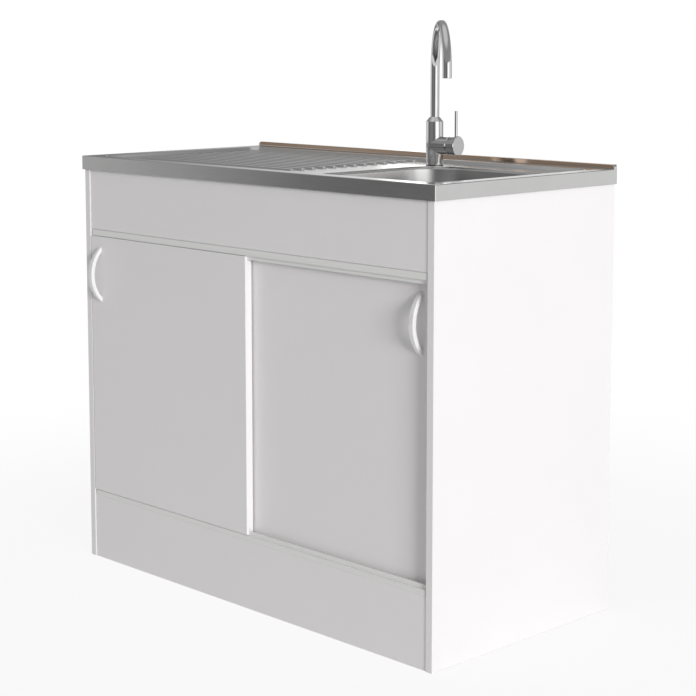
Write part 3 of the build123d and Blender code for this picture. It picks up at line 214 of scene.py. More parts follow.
def softened(profile, steps=5):
    """A profile of (across, height, radius) corners, each corner turned into an arc."""
    points = []
    for k, (across, height, radius) in enumerate(profile):
        here = Vector((across, height))
        if radius == 0 or k in (0, len(profile) - 1):
            points.append(here)
            continue
        before = (Vector(profile[k - 1][:2]) - here).normalized()
        after = (Vector(profile[k + 1][:2]) - here).normalized()
        half_angle = before.angle(after) / 2
        reach = radius / math.tan(half_angle)
        middle = here + (before + after).normalized() * (radius / math.sin(half_angle))
        start, end = here + before * reach - middle, here + after * reach - middle
        sweep = start.angle_signed(end)
        for step in range(steps + 1):
            turn = -sweep * step / steps
            cosine, sine = math.cos(turn), math.sin(turn)
            spoke = Vector((start.x * cosine - start.y * sine, start.x * sine + start.y * cosine))
            points.append(middle + spoke)
    return points


def past_bend(run, drop, radius):
    """How far a bend between a flat and a slope reaches over the flat, with its flat strip."""
    return radius * math.tan(math.atan2(drop, run) / 2) + FLAT


def kept_between(places, low, high):
    """Places in rising order, moved between two ends without any two of them meeting."""
    count = len(places)
    return [
        min(max(place, low + APART * (k + 1)), high - APART * (count - k))
        for k, place in enumerate(places)
    ]


def rounded_ring(box, radius, columns, rows, steps=6):
    """Points anticlockwise round a rectangle (x0, x1, y0, y1) with round corners. Columns and
    rows are the places of the points on its long and short sides."""
    x0, x1, y0, y1 = box
    radius = max(radius, LEAST_CORNER)
    xs = kept_between(columns, x0 + radius, x1 - radius)
    ys = kept_between(rows, y0 + radius, y1 - radius)
    corners = [
        (x1 - radius, y0 + radius, -90),
        (x1 - radius, y1 - radius, 0),
        (x0 + radius, y1 - radius, 90),
        (x0 + radius, y0 + radius, 180),
    ]
    sides = [
        [(x, y0) for x in xs],
        [(x1, y) for y in ys],
        [(x, y1) for x in reversed(xs)],
        [(x0, y) for y in reversed(ys)],
    ]
    points = []
    for side, (cx, cy, start) in zip(sides, corners):
        points += side
        for step in range(0 if side else 1, steps + 1):  # with no side, the arcs share a point
            angle = math.radians(start + 90 * step / steps)
            points.append((cx + radius * math.cos(angle), cy + radius * math.sin(angle)))
    return points


def spread(low, high, count):
    """Even places between two ends, the ends left out."""
    return [low + (high - low) * (k + 1) / (count + 1) for k in range(count)]


def circle_spokes(count):
    """Level unit vectors all round, starting along X."""
    turns = [math.tau * step / count for step in range(count)]
    return [Vector((math.cos(turn), math.sin(turn), 0.0)) for turn in turns]


def rectangle_about(centre, width, depth, grow=0.0):
    """(x0, x1, y0, y1) of a rectangle, grown on every side."""
    return (
        centre[0] - width / 2 - grow,
        centre[0] + width / 2 + grow,
        centre[1] - depth / 2 - grow,
        centre[1] + depth / 2 + grow,
    )


# ---------------------------------------------------------------- steel top
UPSTAND_DEPTH = 10 * MM
UPSTAND_END = 2 * MM
UPSTAND_FOLD = [  # front of the upstand: place behind its front face, share of its height
    (-0.6 * MM, 0.0),
    (-0.2 * MM, 0.02),
    (-0.05 * MM, 0.08),
    (0.05 * MM, 0.86),
    (0.2 * MM, 0.93),
    (0.6 * MM, 0.98),
    (1.5 * MM, 1.0),
]
END_STRIP = 2 * MM  # between the columns of points beside the upstand's ends
RIM_COLUMNS, RIM_ROWS = 7, 5  # points along the rim, besides those of the upstand
DECK_EDGE = 1.5 * MM
SKIRT_HEIGHT = 28 * MM
SKIRT_CORNER = 3 * MM
RECESS_CORNER = 22 * MM
RECESS_RUN = 5 * MM
RECESS_EDGE_ROUND = 4 * MM
RECESS_FLOOR_ROUND = 0.8 * MM  # its floor ends close to the step round the bowl
LANDING_DROP = 2.5 * MM
LANDING_MARGIN = 8 * MM
LANDING_RUN = 3 * MM
LANDING_CORNER = 64 * MM
LANDING_ROUND = 1 * MM
BOWL_CORNER = 80 * MM
BOWL_RIM = 3 * MM
BOWL_DRAFT = math.radians(4)
BOWL_REACH = 197 * MM  # from its middle, past its corners and short of the skirts
BOWL_FLOOR_ROUND = 24 * MM
BOWL_WALL_STEPS = 9  # of each bend down the bowl
BOWL_CORNER_STEPS = 12  # of each corner round it
BOWL_SIDE_POINTS = 5
DISH_RADIUS = 59 * MM
DISH_DEPTH = 2.5 * MM
DISH_RUN = 1.5 * MM
DISH_EDGE_ROUND = 1.5 * MM
DISH_FOOT_ROUND = 1 * MM
FLOOR_STRIP = 4 * MM  # flat floor kept between the bends of the bowl and of its dish
DRAIN_RADIUS = 45 * MM
TAP_HOLE_RADIUS = 15 * MM
HOLE_STEPS = 48
RIB_LENGTH = 470 * MM
RIB_WIDTH = 10 * MM
RIB_PITCH = 28 * MM
RIB_RUN = 2.1 * MM
RIB_FOOT_ROUND = 1.2 * MM
RIB_CROWN_ROUND = 1.5 * MM
RIB_GAP_TO_BOWL = 96 * MM
RIBS_FROM_BACK = 70 * MM
RIB_SIDE_POINTS = 9
RIB_END_STEPS = 8  # of each quarter of a rib's round end
SHARP_FOLD = math.radians(50)  # bends past this angle keep a sharp edge
APART = 0.02 * MM  # least distance between neighbours of a ring
LEAST_CORNER = 0.3 * MM  # smallest corner radius of a ring
FLAT = 0.08 * MM  # width of the flat strip that keeps a bend's shading off the flat beside it


def upstand_share(x, y):
    """How much of the upstand's height the sheet has at a place of the rim."""
    ends = min(max((top_high.x - abs(x)) / UPSTAND_END, 0.0), 1.0)
    behind = y - (top_high.y - UPSTAND_DEPTH)
    share = 0.0
    if behind >= UPSTAND_FOLD[-1][0]:
        share = 1.0
    for (a, low), (b, high) in zip(UPSTAND_FOLD, UPSTAND_FOLD[1:]):
        if a <= behind < b:
            share = low + (high - low) * (behind - a) / (b - a)
    return share * ends


def rim_rings(mesh, deck_z, upstand_height):
    """Skirt, rolled edge, upstand and flat rim, as far as the recess."""
    fold_y = top_high.y - UPSTAND_DEPTH
    end_x = top_high.x - UPSTAND_END
    inner_x = end_x - END_STRIP
    columns = [-end_x, -inner_x] + spread(-end_x, end_x, RIM_COLUMNS) + [inner_x, end_x]
    rows = spread(top_low.y, fold_y, RIM_ROWS) + [fold_y + place for place, _ in UPSTAND_FOLD]
    profile = softened(
        [
            (0.0, deck_z - SKIRT_HEIGHT, 0),
            (0.0, deck_z, DECK_EDGE),
            (UPSTAND_DEPTH / 2, deck_z, 0),
        ]
    )
    skirt_top = deck_z - DECK_EDGE - FLAT
    profile[1:1] = [Vector((0.0, deck_z - SKIRT_HEIGHT + FLAT)), Vector((0.0, skirt_top))]
    profile += [Vector((UPSTAND_DEPTH - place, deck_z)) for place, _ in reversed(UPSTAND_FOLD)]
    rings = []
    for inset, height in profile:
        box = (top_low.x + inset, top_high.x - inset, top_low.y + inset, top_high.y - inset)
        lifted = height > skirt_top + FLAT / 2
        ring = []
        for x, y in rounded_ring(box, SKIRT_CORNER - inset, columns, rows):
            rise = upstand_height * upstand_share(x, y) if lifted else 0.0
            ring.append((x, y, height + rise))
        rings.append(ring_of(mesh, ring))
    return rings, len(columns), len(rows)


def recess_rings(mesh, sizes, deck_z, columns, rows):
    """The sloped wall from the flat rim down to the working area."""
    low_y, high_y = top_low.y + sizes.rim, top_high.y - sizes.rim_back
    low_x, high_x = top_low.x + sizes.rim, top_high.x - sizes.rim
    slope = (RECESS_RUN, sizes.recess_depth)
    profile = softened(
        [
            (-past_bend(*slope, RECESS_EDGE_ROUND), deck_z, 0),
            (0.0, deck_z, RECESS_EDGE_ROUND),
            (RECESS_RUN, ledge_z, RECESS_FLOOR_ROUND),
            (RECESS_RUN + past_bend(*slope, RECESS_FLOOR_ROUND), ledge_z, 0),
        ]
    )
    rings = []
    for inset, height in profile:
        box = (low_x + inset, high_x - inset, low_y + inset, high_y - inset)
        xs = spread(low_x + RECESS_CORNER, high_x - RECESS_CORNER, columns)
        ys = spread(low_y + RECESS_CORNER, high_y - RECESS_CORNER, rows)
        points = rounded_ring(box, RECESS_CORNER - inset, xs, ys)
        rings.append(ring_of(mesh, [(x, y, height) for x, y in points]))
    return rings


def bowl_rings(mesh, sizes):
    """Landing step, rolled rim, bowl and the dish round the drain."""
    width, length = sizes.bowl_width, sizes.bowl_length
    landing_z = ledge_z - LANDING_DROP
    floor_z = landing_z - sizes.bowl_depth
    reach = past_bend(LANDING_RUN, LANDING_DROP, LANDING_ROUND)
    step = softened(
        [
            (-reach, ledge_z, 0),
            (0.0, ledge_z, LANDING_ROUND),
            (LANDING_RUN, landing_z, LANDING_ROUND),
            (LANDING_RUN + reach, landing_z, 0),
        ]
    )
    run = sizes.bowl_depth * math.tan(BOWL_DRAFT)
    wall = softened(
        [
            (-BOWL_RIM - FLAT, landing_z, 0),
            (0.0, landing_z, BOWL_RIM),
            (run, floor_z, BOWL_FLOOR_ROUND),
            (run + BOWL_FLOOR_ROUND + FLOOR_STRIP, floor_z, 0),
        ],
        steps=BOWL_WALL_STEPS,
    )
    rings = []
    for margin, corner, profile in ((LANDING_MARGIN, LANDING_CORNER, step), (0, BOWL_CORNER, wall)):
        for inset, height in profile:
            box = rectangle_about(bowl_middle, width, length, margin - inset)
            radius = corner - inset
            xs = spread(box[0] + radius, box[1] - radius, BOWL_SIDE_POINTS)
            ys = spread(box[2] + radius, box[3] - radius, BOWL_SIDE_POINTS)
            points = rounded_ring(box, radius, xs, ys, BOWL_CORNER_STEPS)
            rings.append(ring_of(mesh, [(x, y, height) for x, y in points]))
    dish = softened(
        [
            (-DISH_RADIUS - FLOOR_STRIP, floor_z, 0),
            (-DISH_RADIUS, floor_z, DISH_EDGE_ROUND),
            (-DISH_RADIUS + DISH_RUN, floor_z - DISH_DEPTH, DISH_FOOT_ROUND),
            (-DRAIN_RADIUS - FLAT, floor_z - DISH_DEPTH, 0),
            (-DRAIN_RADIUS, floor_z - DISH_DEPTH, 0),
        ]
    )
    spokes = [(Vector((v.co.x, v.co.y, 0.0)) - bowl_middle).normalized() for v in rings[-1]]
    for across, height in dish:
        points = [bowl_middle + spoke * -across + Vector((0, 0, height)) for spoke in spokes]
        rings.append(ring_of(mesh, points))
    return rings


def rib_rings(mesh, sizes, middle):
    """One rib of the drainer, foot to crown."""
    profile = softened(
        [
            (-past_bend(RIB_RUN, sizes.rib_height, RIB_FOOT_ROUND), ledge_z, 0),
            (0.0, ledge_z, RIB_FOOT_ROUND),
            (RIB_RUN, ledge_z + sizes.rib_height, RIB_CROWN_ROUND),
            (RIB_RUN + RIB_CROWN_ROUND, ledge_z + sizes.rib_height, 0),
        ]
    )
    rings = []
    for inset, height in profile:
        box = rectangle_about(middle, RIB_LENGTH, RIB_WIDTH, -inset)
        radius = RIB_WIDTH / 2 - inset
        xs = spread(box[0] + radius, box[1] - radius, RIB_SIDE_POINTS)
        points = rounded_ring(box, radius, xs, [], RIB_END_STEPS)
        rings.append(ring_of(mesh, [(x, y, height) for x, y in points]))
    return rings


def steel_top_mesh(sizes):
    """The whole pressing as one sheet of quads, with the flat working area filled in last."""
    deck_z = ledge_z + sizes.recess_depth
    mesh = bmesh.new()
    rim, columns, rows = rim_rings(mesh, deck_z, top_high.z - deck_z)
    recess = recess_rings(mesh, sizes, deck_z, columns, rows)
    bowl = bowl_rings(mesh, sizes)
    skin(mesh, rim + recess)
    skin(mesh, bowl)
    outlines = [recess[-1], bowl[0]]
    bowl_left = bowl_middle.x - sizes.bowl_width / 2
    first_rib = top_high.y - RIBS_FROM_BACK
    for number in range(sizes.rib_count):
        middle = (bowl_left - RIB_GAP_TO_BOWL - RIB_LENGTH / 2, first_rib - number * RIB_PITCH)
        rib = rib_rings(mesh, sizes, middle)
        skin(mesh, rib)
        mesh.faces.new(rib[-1])
        outlines.append(rib[0])
    hole = [
        ring_of(mesh, [tap_axis + spoke * radius for spoke in circle_spokes(HOLE_STEPS)])
        for radius in (TAP_HOLE_RADIUS + FLAT, TAP_HOLE_RADIUS)
    ]
    skin(mesh, hole)
    outlines.append(hole[0])
    fill_between(mesh, outlines)
    return mesh


# ---------------------------------------------------------------- node groups
NOISE_SPAN = (0.3, 0.7)  # where nearly all values of one noise lie
TWO_NOISES_SPAN = (0.7, 1.3)  # and those of the sum of two
GRAIN_STRETCHES = ((6.0, 1500.0, 1500.0), (25.0, 4200.0, 4200.0))  # broad lines, hair lines


def new_group(name, inputs, outputs):
    """A shader node group with its sockets; inputs are (name, type, default)."""
    group = bpy.data.node_groups.new(name, "ShaderNodeTree")
    for label, kind, value in inputs:
        socket = group.interface.new_socket(label, in_out="INPUT", socket_type=kind)
        socket.default_value = value
    for label, kind in outputs:
        group.interface.new_socket(label, in_out="OUTPUT", socket_type=kind)
    return group, group.nodes.new("NodeGroupInput"), group.nodes.new("NodeGroupOutput")


def add_node(tree, kind, links=(), **settings):
    """A node with its settings; links are (socket name or number, value or another output)."""
    node = tree.nodes.new(kind)
    for key, value in settings.items():
        setattr(node, key, value)
    for socket, value in links:
        if isinstance(value, bpy.types.NodeSocket):
            tree.links.new(value, node.inputs[socket])
        else:
            node.inputs[socket].default_value = value
    return node


def ramp(tree, value, start, end, low=0.0, high=1.0, **settings):
    """Low to high while the value runs from start to end, and level beyond them."""
    ends = [("From Min", start), ("From Max", end), ("To Min", low), ("To Max", high)]
    links = [("Value", value), *ends]
    return add_node(tree, "ShaderNodeMapRange", links, clamp=True, **settings).outputs[0]


def combined(tree, operation, first, second):
    """One value from two, by a Math node."""
    links = [(0, first), (1, second)]
    return add_node(tree, "ShaderNodeMath", links, operation=operation).outputs[0]


def place_in_object(tree, stretch):
    """Object coordinates, scaled along each axis."""
    place = add_node(tree, "ShaderNodeTexCoord").outputs["Object"]
    scaled = add_node(tree, "ShaderNodeMapping", [("Vector", place), ("Scale", stretch)])
    return scaled.outputs[0]


def mottle_group():
    """Soft cloudy unevenness: Mask is 0 to 1 and changes over a few centimetres or less."""
    group, given, out = new_group(
        "mottle",
        [("Scale", "NodeSocketFloat", 20.0), ("Detail", "NodeSocketFloat", 3.0)],
        [("Mask", "NodeSocketFloat")],
    )
    noise = add_node(
        group,
        "ShaderNodeTexNoise",
        [
            ("Vector", place_in_object(group, (1, 1, 1))),
            ("Scale", given.outputs["Scale"]),
            ("Detail", given.outputs["Detail"]),
            ("Roughness", 0.55),
        ],
    )
    group.links.new(ramp(group, noise.outputs["Fac"], *NOISE_SPAN), out.inputs["Mask"])
    return group


def grain_group():
    """Fine lines along X, as a brush or a die leaves them: Mask is 0 to 1."""
    group, given, out = new_group(
        "grain",
        [("Fineness", "NodeSocketFloat", 1.0)],
        [("Mask", "NodeSocketFloat")],
    )
    lines = []
    for stretch in GRAIN_STRETCHES:
        noise = add_node(
            group,
            "ShaderNodeTexNoise",
            [
                ("Vector", place_in_object(group, stretch)),
                ("Scale", given.outputs["Fineness"]),
                ("Detail", 2.0),
            ],
        )
        lines.append(noise.outputs["Fac"])
    both = combined(group, "ADD", *lines)
    group.links.new(ramp(group, both, *TWO_NOISES_SPAN), out.inputs["Mask"])
    return group


def pores_group():
    """A fine pebbled skin, as moulded plastic and pressed laminate have: Height is 0 to 1."""
    group, given, out = new_group(
        "pores",
        [("Scale", "NodeSocketFloat", 900.0)],
        [("Height", "NodeSocketFloat")],
    )
    cells = add_node(
        group,
        "ShaderNodeTexVoronoi",
        [("Vector", place_in_object(group, (1, 1, 1))), ("Scale", given.outputs["Scale"])],
        feature="SMOOTH_F1",
    )
    group.links.new(cells.outputs["Distance"], out.inputs["Height"])
    return group


EFFECTS = {"mottle": mottle_group, "grain": grain_group, "pores": pores_group}


# ---------------------------------------------------------------- materials
class Finish:
    """One material in the making: its tree, its shader and short ways to wire them."""

    def __init__(self, name):
        self.material = bpy.data.materials.new(name)
        self.material.use_nodes = True
        self.tree = self.material.node_tree
        self.shader = self.tree.nodes["Principled BSDF"]

    def set(self, **values):
        """Constants on the shader, named with underscores for spaces."""
        for key, value in values.items():
            self.shader.inputs[key.replace("_", " ")].default_value = value

    def add(self, kind, links=(), **settings):
        """A node of this material."""
        return add_node(self.tree, kind, links, **settings)

    def wire(self, output, socket):
        """Join an output to a socket of the shader."""
        self.tree.links.new(output, self.shader.inputs[socket])

    def mask(self, group, **values):
        """The first output of a node group, with its inputs set by name."""
        node = self.add("ShaderNodeGroup")
        node.node_tree = bpy.data.node_groups.get(group) or EFFECTS[group]()
        for key, value in values.items():
            node.inputs[key].default_value = value
        return node.outputs[0]

    def blend(self, mask, low, high):
        """A colour between two others, by a mask."""
        mix = self.add("ShaderNodeMix", [(0, mask)], data_type="RGBA")
        for socket, colour in ((6, low), (7, high)):
            if isinstance(colour, bpy.types.NodeSocket):
                self.tree.links.new(colour, mix.inputs[socket])
            else:
                mix.inputs[socket].default_value = (*colour[:3], 1.0)
        return mix.outputs[2]

    def drift(self, mask, dark, light, smooth, rough):
        """Tone and roughness that change together with a mask."""
        self.wire(self.blend(mask, dark, light), "Base Color")
        self.wire(ramp(self.tree, mask, 0.0, 1.0, smooth, rough), "Roughness")

    def relief(self, height, depth, strength):
        """Fine relief of a height from 0 to 1."""
        bump = self.add(
            "ShaderNodeBump", [("Height", height), ("Distance", depth), ("Strength", strength)]
        )
        self.wire(bump.outputs[0], "Normal")

    def axes(self, vector):
        """X, Y and Z of a vector."""
        return self.add("ShaderNodeSeparateXYZ", [(0, vector)]).outputs

    def facing(self):
        """X, Y and Z of the way that the surface looks."""
        return self.axes(self.add("ShaderNodeNewGeometry").outputs["Normal"])

    def place(self):
        """Place on the object, which is also its place in the frame."""
        return self.add("ShaderNodeTexCoord").outputs["Object"]

    def plan_distance(self, middle=(0, 0, 0)):
        """Distance from an upright line through a point on the floor."""
        flat = self.add(
            "ShaderNodeVectorMath", [(0, self.place()), (1, (1, 1, 0))], operation="MULTIPLY"
        )
        away = self.add(
            "ShaderNodeVectorMath", [(0, flat.outputs[0]), (1, middle)], operation="DISTANCE"
        )
        return away.outputs["Value"]


def shade(colour, factor):
    """A colour made lighter or darker, within 0 to 1."""
    return tuple(min(c * factor, 1.0) for c in colour[:3])


def melamine(name, colours):
    """White laminate: a fine pearl skin with a low sheen."""
    finish = Finish(name)
    white = colours.melamine
    finish.drift(finish.mask("mottle", Scale=7.0), shade(white, 0.985), white, 0.36, 0.44)
    finish.relief(finish.mask("pores", Scale=1100.0), 0.02 * MM, 0.25)
    return finish.material


def hardboard(name, colours):
    """Thin fibreboard, lacquered white towards the cupboard and bare brown towards the wall."""
    finish = Finish(name)
    fibres = finish.mask("mottle", Scale=260.0, Detail=6.0)
    bare = finish.blend(fibres, (0.22, 0.125, 0.062), (0.36, 0.225, 0.125))
    lacquer = finish.blend(fibres, (0.74, 0.74, 0.73), (0.8, 0.8, 0.79))
    rear = combined(finish.tree, "GREATER_THAN", finish.facing()["Y"], 0.5)
    finish.wire(finish.blend(rear, lacquer, bare), "Base Color")
    finish.wire(ramp(finish.tree, fibres, 0.0, 1.0, 0.45, 0.62), "Roughness")
    finish.relief(fibres, 0.06 * MM, 0.3)
    return finish.material


# where the finish of the steel changes, and where a brown reflection is painted on it
FACES_UP = (0.6, 0.95)  # upward part of the normal, from none of the bands to all of them
FACES_FORWARD = -0.3  # forward part of the normal of the upstand's front
BAND_SHARE = 0.6
UPSTAND_FOOT = (6.5 * MM, 8.5 * MM)  # heights over the working area, just above the rim
UPSTAND_STOP = (2.5 * MM, 1.5 * MM)  # in from the right end of the top
REFLECTION_AT_LEFT = 0.35  # share of the painted reflection's brightness at the left end
REFLECTION_IN_FULL = 1 / 3  # of the way from the middle of the top to its right end, and on, the painted reflection is at full strength
BOWL_STARTS = (8 * MM, 3 * MM)  # depths below the working area
BOWL_DULLNESS = 0.1  # added to the roughness inside the bowl


def sheet_colour(finish, steel, grain):
    """Colour of the sheet: a satin grain, and wider bands where it faces up."""
    clouds = finish.mask("mottle", Scale=9.0, Detail=4.0)
    plain = finish.blend(clouds, shade(steel, 0.93), shade(steel, 1.05))
    brushed = finish.blend(grain, shade(steel, 0.9), plain)
    wide_grain = finish.mask("grain", Fineness=0.02)
    bands = finish.blend(wide_grain, shade(steel, 0.85), shade(steel, 1.05))
    upward = ramp(finish.tree, finish.facing()["Z"], *FACES_UP)
    share = combined(finish.tree, "MULTIPLY", upward, BAND_SHARE)
    return finish.blend(share, brushed, bands)


def painted_upstand_reflection(finish, reflection_brown):
    """Painted reflection: brown streaks on the upstand's front that fade towards the left, and the
    mask of the upstand's front.
    """
    tree = finish.tree
    place = finish.axes(finish.place())
    # painted reflection: brown streaks in place of the room that the upstand would mirror, fading
    # towards the left
    reflection_streaks = finish.mask("grain", Fineness=0.3)
    reflection_colour = finish.blend(reflection_streaks, reflection_brown, shade(reflection_brown, 1.25))
    along = ramp(tree, place["X"], top_low.x, top_high.x * REFLECTION_IN_FULL, REFLECTION_AT_LEFT, 1.0)
    faded = finish.add("ShaderNodeVectorMath", [(0, reflection_colour), ("Scale", along)], operation="SCALE")
    above_rim = ramp(tree, place["Z"], *(ledge_z + height for height in UPSTAND_FOOT))
    before_end = ramp(tree, place["X"], *(top_high.x - inset for inset in UPSTAND_STOP), 1.0, 0.0)
    forward = combined(tree, "LESS_THAN", finish.facing()["Y"], FACES_FORWARD)
    where = combined(tree, "MULTIPLY", above_rim, before_end)
    return faded.outputs[0], combined(tree, "MULTIPLY", where, forward)


def bowl_dullness(finish):
    """What the inside of the bowl adds to the roughness of the sheet."""
    tree = finish.tree
    height = finish.axes(finish.place())["Z"]
    deep = ramp(tree, height, *(ledge_z - depth for depth in BOWL_STARTS), BOWL_DULLNESS, 0.0)
    inside = combined(tree, "LESS_THAN", finish.plan_distance(bowl_middle), BOWL_REACH)
    return combined(tree, "MULTIPLY", inside, deep)


def brushed_steel(name, colours):
    """Stainless steel with a satin grain along the top, duller in the bowl, and a brown reflection
    painted in streaks on the upstand's front."""
    finish = Finish(name)
    grain = finish.mask("grain", Fineness=1.0)
    reflection_colour, on_upstand = painted_upstand_reflection(finish, colours.painted_reflection_brown)
    sheet = sheet_colour(finish, colours.steel, grain)
    # the painted reflection covers the sheet's colour on the upstand's front
    finish.wire(finish.blend(on_upstand, sheet, reflection_colour), "Base Color")
    finish.set(Metallic=1.0)
    polish = ramp(finish.tree, grain, 0.0, 1.0, 0.1, 0.16)
    finish.wire(combined(finish.tree, "ADD", polish, bowl_dullness(finish)), "Roughness")
    finish.relief(grain, 0.01 * MM, 0.04)
    return finish.material


def chrome(name, colours):
    """Plated brass, polished, with the faint haze of water marks."""
    finish = Finish(name)
    marks = finish.mask("mottle", Scale=60.0, Detail=4.0)
    finish.drift(marks, shade(colours.chrome, 0.94), colours.chrome, 0.04, 0.09)
    finish.set(Metallic=1.0)
    finish.relief(marks, 0.004 * MM, 0.05)
    return finish.material


def metal(dark, light, smooth, rough, cloud_scale):
    """Maker of a plain metal whose tone and polish drift between two values."""

    def make(name, colours):
        finish = Finish(name)
        clouds = finish.mask("mottle", Scale=cloud_scale, Detail=4.0)
        finish.drift(clouds, dark, light, smooth, rough)
        finish.set(Metallic=1.0)
        finish.relief(clouds, 0.02 * MM, 0.3)
        return finish.material

    return make


def moulded(dark, light, smooth, rough, pore_scale, coat=0.0):
    """Maker of a plastic or rubber with a fine moulded skin."""

    def make(name, colours):
        finish = Finish(name)
        finish.drift(finish.mask("mottle", Scale=30.0), dark, light, smooth, rough)
        finish.set(Coat_Weight=coat, Coat_Roughness=0.12)
        finish.relief(finish.mask("pores", Scale=pore_scale), 0.015 * MM, 0.3)
        return finish.material

    return make


def extruded_plastic(name, colours):
    """White track plastic with faint die lines along its length."""
    finish = Finish(name)
    lines = finish.mask("grain", Fineness=0.4)
    finish.drift(lines, (0.80, 0.80, 0.79), (0.84, 0.84, 0.83), 0.3, 0.4)
    finish.relief(lines, 0.01 * MM, 0.2)
    return finish.material


def beech(name, colours):
    """Dowel wood with growth lines along X."""
    finish = Finish(name)
    lines = finish.mask("grain", Fineness=0.5)
    finish.drift(lines, (0.42, 0.26, 0.13), (0.62, 0.43, 0.25), 0.5, 0.65)
    finish.relief(lines, 0.05 * MM, 0.4)
    return finish.material


# The numbers after the two colours are the roughness of the smooth and the rough spots, the
# scale of the clouds (metal) or pores (moulded), and the weight of a clear coat.
FINISHES = {  # material slot of the record: what makes its material
    "melamine": melamine,
    "hardboard": hardboard,
    "top_steel": brushed_steel,
    "chrome": chrome,
    "track_plastic": extruded_plastic,
    "handle_plastic": moulded((0.83, 0.83, 0.82), (0.86, 0.86, 0.855), 0.22, 0.3, 1600.0, 0.4),
    "glide_plastic": moulded((0.72, 0.72, 0.69), (0.78, 0.78, 0.75), 0.4, 0.5, 1200.0),
    "waste_plastic": moulded((0.76, 0.76, 0.75), (0.82, 0.82, 0.81), 0.35, 0.45, 1300.0),
    "valve_plastic": moulded((0.6, 0.6, 0.57), (0.68, 0.68, 0.65), 0.4, 0.5, 1400.0),
    "rubber": moulded((0.018, 0.018, 0.018), (0.035, 0.035, 0.034), 0.6, 0.75, 1500.0),
    "zinc": metal((0.33, 0.34, 0.36), (0.45, 0.46, 0.48), 0.4, 0.55, 90.0),
    "plated_steel": metal((0.45, 0.46, 0.49), (0.6, 0.61, 0.63), 0.25, 0.4, 120.0),
    "waste_steel": metal((0.5, 0.5, 0.49), (0.6, 0.6, 0.59), 0.16, 0.28, 45.0),
    "brass": metal((0.55, 0.38, 0.15), (0.7, 0.52, 0.25), 0.22, 0.35, 80.0),
    "dowel_wood": beech,
}


def finish_of(slot, colours):
    """The material of a slot, made when it is first asked for."""
    name = slot + "_finish"
    return bpy.data.materials.get(name) or FINISHES[slot](name, colours)


# ---------------------------------------------------------------- groups of pieces
class Dressing:
    """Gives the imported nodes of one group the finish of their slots."""

    pieces = ()

    def execute(self, context):
        for name in self.pieces:
            materials = nodes[name].data.materials
            materials.clear()
            materials.append(finish_of(slot_of[name], context.scene.sinkunit_colours))
        return {"FINISHED"}


class SINKUNIT_OT_boards(Dressing, bpy.types.Operator):
    """Face the boards of the cabinet with white laminate and lacquer its thin back"""

    bl_idname = "sinkunit.boards"
    bl_label = "Boards"
    pieces = (
        "side_panel_left",
        "side_panel_right",
        "bottom_board",
        "plinth_board",
        "fascia_board",
        "front_batten",
        "back_rail",
        "back_panel",
    )


class SINKUNIT_OT_joint_fittings(Dressing, bpy.types.Operator):
    """Finish the locks, bolts and dowels of the board joints and the brackets of the top"""

    bl_idname = "sinkunit.joint_fittings"
    bl_label = "Joint fittings"
    pieces = ("cam_locks", "cam_bolts", "wooden_dowels", "top_brackets", "bracket_screws")


class SINKUNIT_OT_doors(Dressing, bpy.types.Operator):
    """Face the sliding doors and finish the tracks and glides they run on"""

    bl_idname = "sinkunit.doors"
    bl_label = "Doors and tracks"
    pieces = (
        "door_left",
        "door_right",
        "upper_track",
        "lower_track",
        "door_glides_left",
        "door_glides_right",
    )


class SINKUNIT_OT_handles(Dressing, bpy.types.Operator):
    """Finish the two bow handles and their screws"""

    bl_idname = "sinkunit.handles"
    bl_label = "Handles"
    pieces = ("handle_left", "handle_right", "handle_screws_left", "handle_screws_right")


class SINKUNIT_OT_steel_top(bpy.types.Operator):
    """Press the steel top: skirts, upstand, recess, ribbed drainer and bowl"""

    bl_idname = "sinkunit.steel_top"
    bl_label = "Steel top"

    def execute(self, context):
        sizes, slot = context.scene.sinkunit_top, slot_of["sink_top"]
        top = object_of("pressed_top", steel_top_mesh(sizes))
        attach(top, "cabinet")
        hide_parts("sink_top")
        sheet = top.modifiers.new("sheet", "SOLIDIFY")
        sheet.thickness = sizes.sheet
        sheet.offset = -1
        sheet.use_even_offset = True
        top.data.polygons.foreach_set("use_smooth", [True] * len(top.data.polygons))
        top.data.set_sharp_from_angle(angle=SHARP_FOLD)
        top.data.materials.append(finish_of(slot, context.scene.sinkunit_colours))
        return {"FINISHED"}


class SINKUNIT_OT_waste(Dressing, bpy.types.Operator):
    """Finish the drain with its strainer basket, the trap and the pipe"""

    bl_idname = "sinkunit.waste"
    bl_label = "Waste and trap"
    pieces = (
        "waste_flange",
        "waste_gasket",
        "waste_body",
        "waste_screw",
        "strainer_basket",
        "trap_inlet_nut",
        "trap_body",
        "trap_cup",
        "trap_outlet_nut",
        "waste_pipe",
    )


class SINKUNIT_OT_tap(Dressing, bpy.types.Operator):
    """Plate the mixer tap and finish its valve and its fixing under the top"""

    bl_idname = "sinkunit.tap"
    bl_label = "Mixer tap"
    pieces = (
        "tap_base_seal",
        "tap_body",
        "spout_bush",
        "spout",
        "aerator",
        "mixer_cartridge",
        "cartridge_ring",
        "lever_guide",
        "lever_stem",
        "pivot_pin",
        "mixer_knob",
        "knob_screw",
        "lever_pin",
        "tap_shank",
        "tap_rubber_ring",
        "tap_washer",
        "tap_nut",
    )


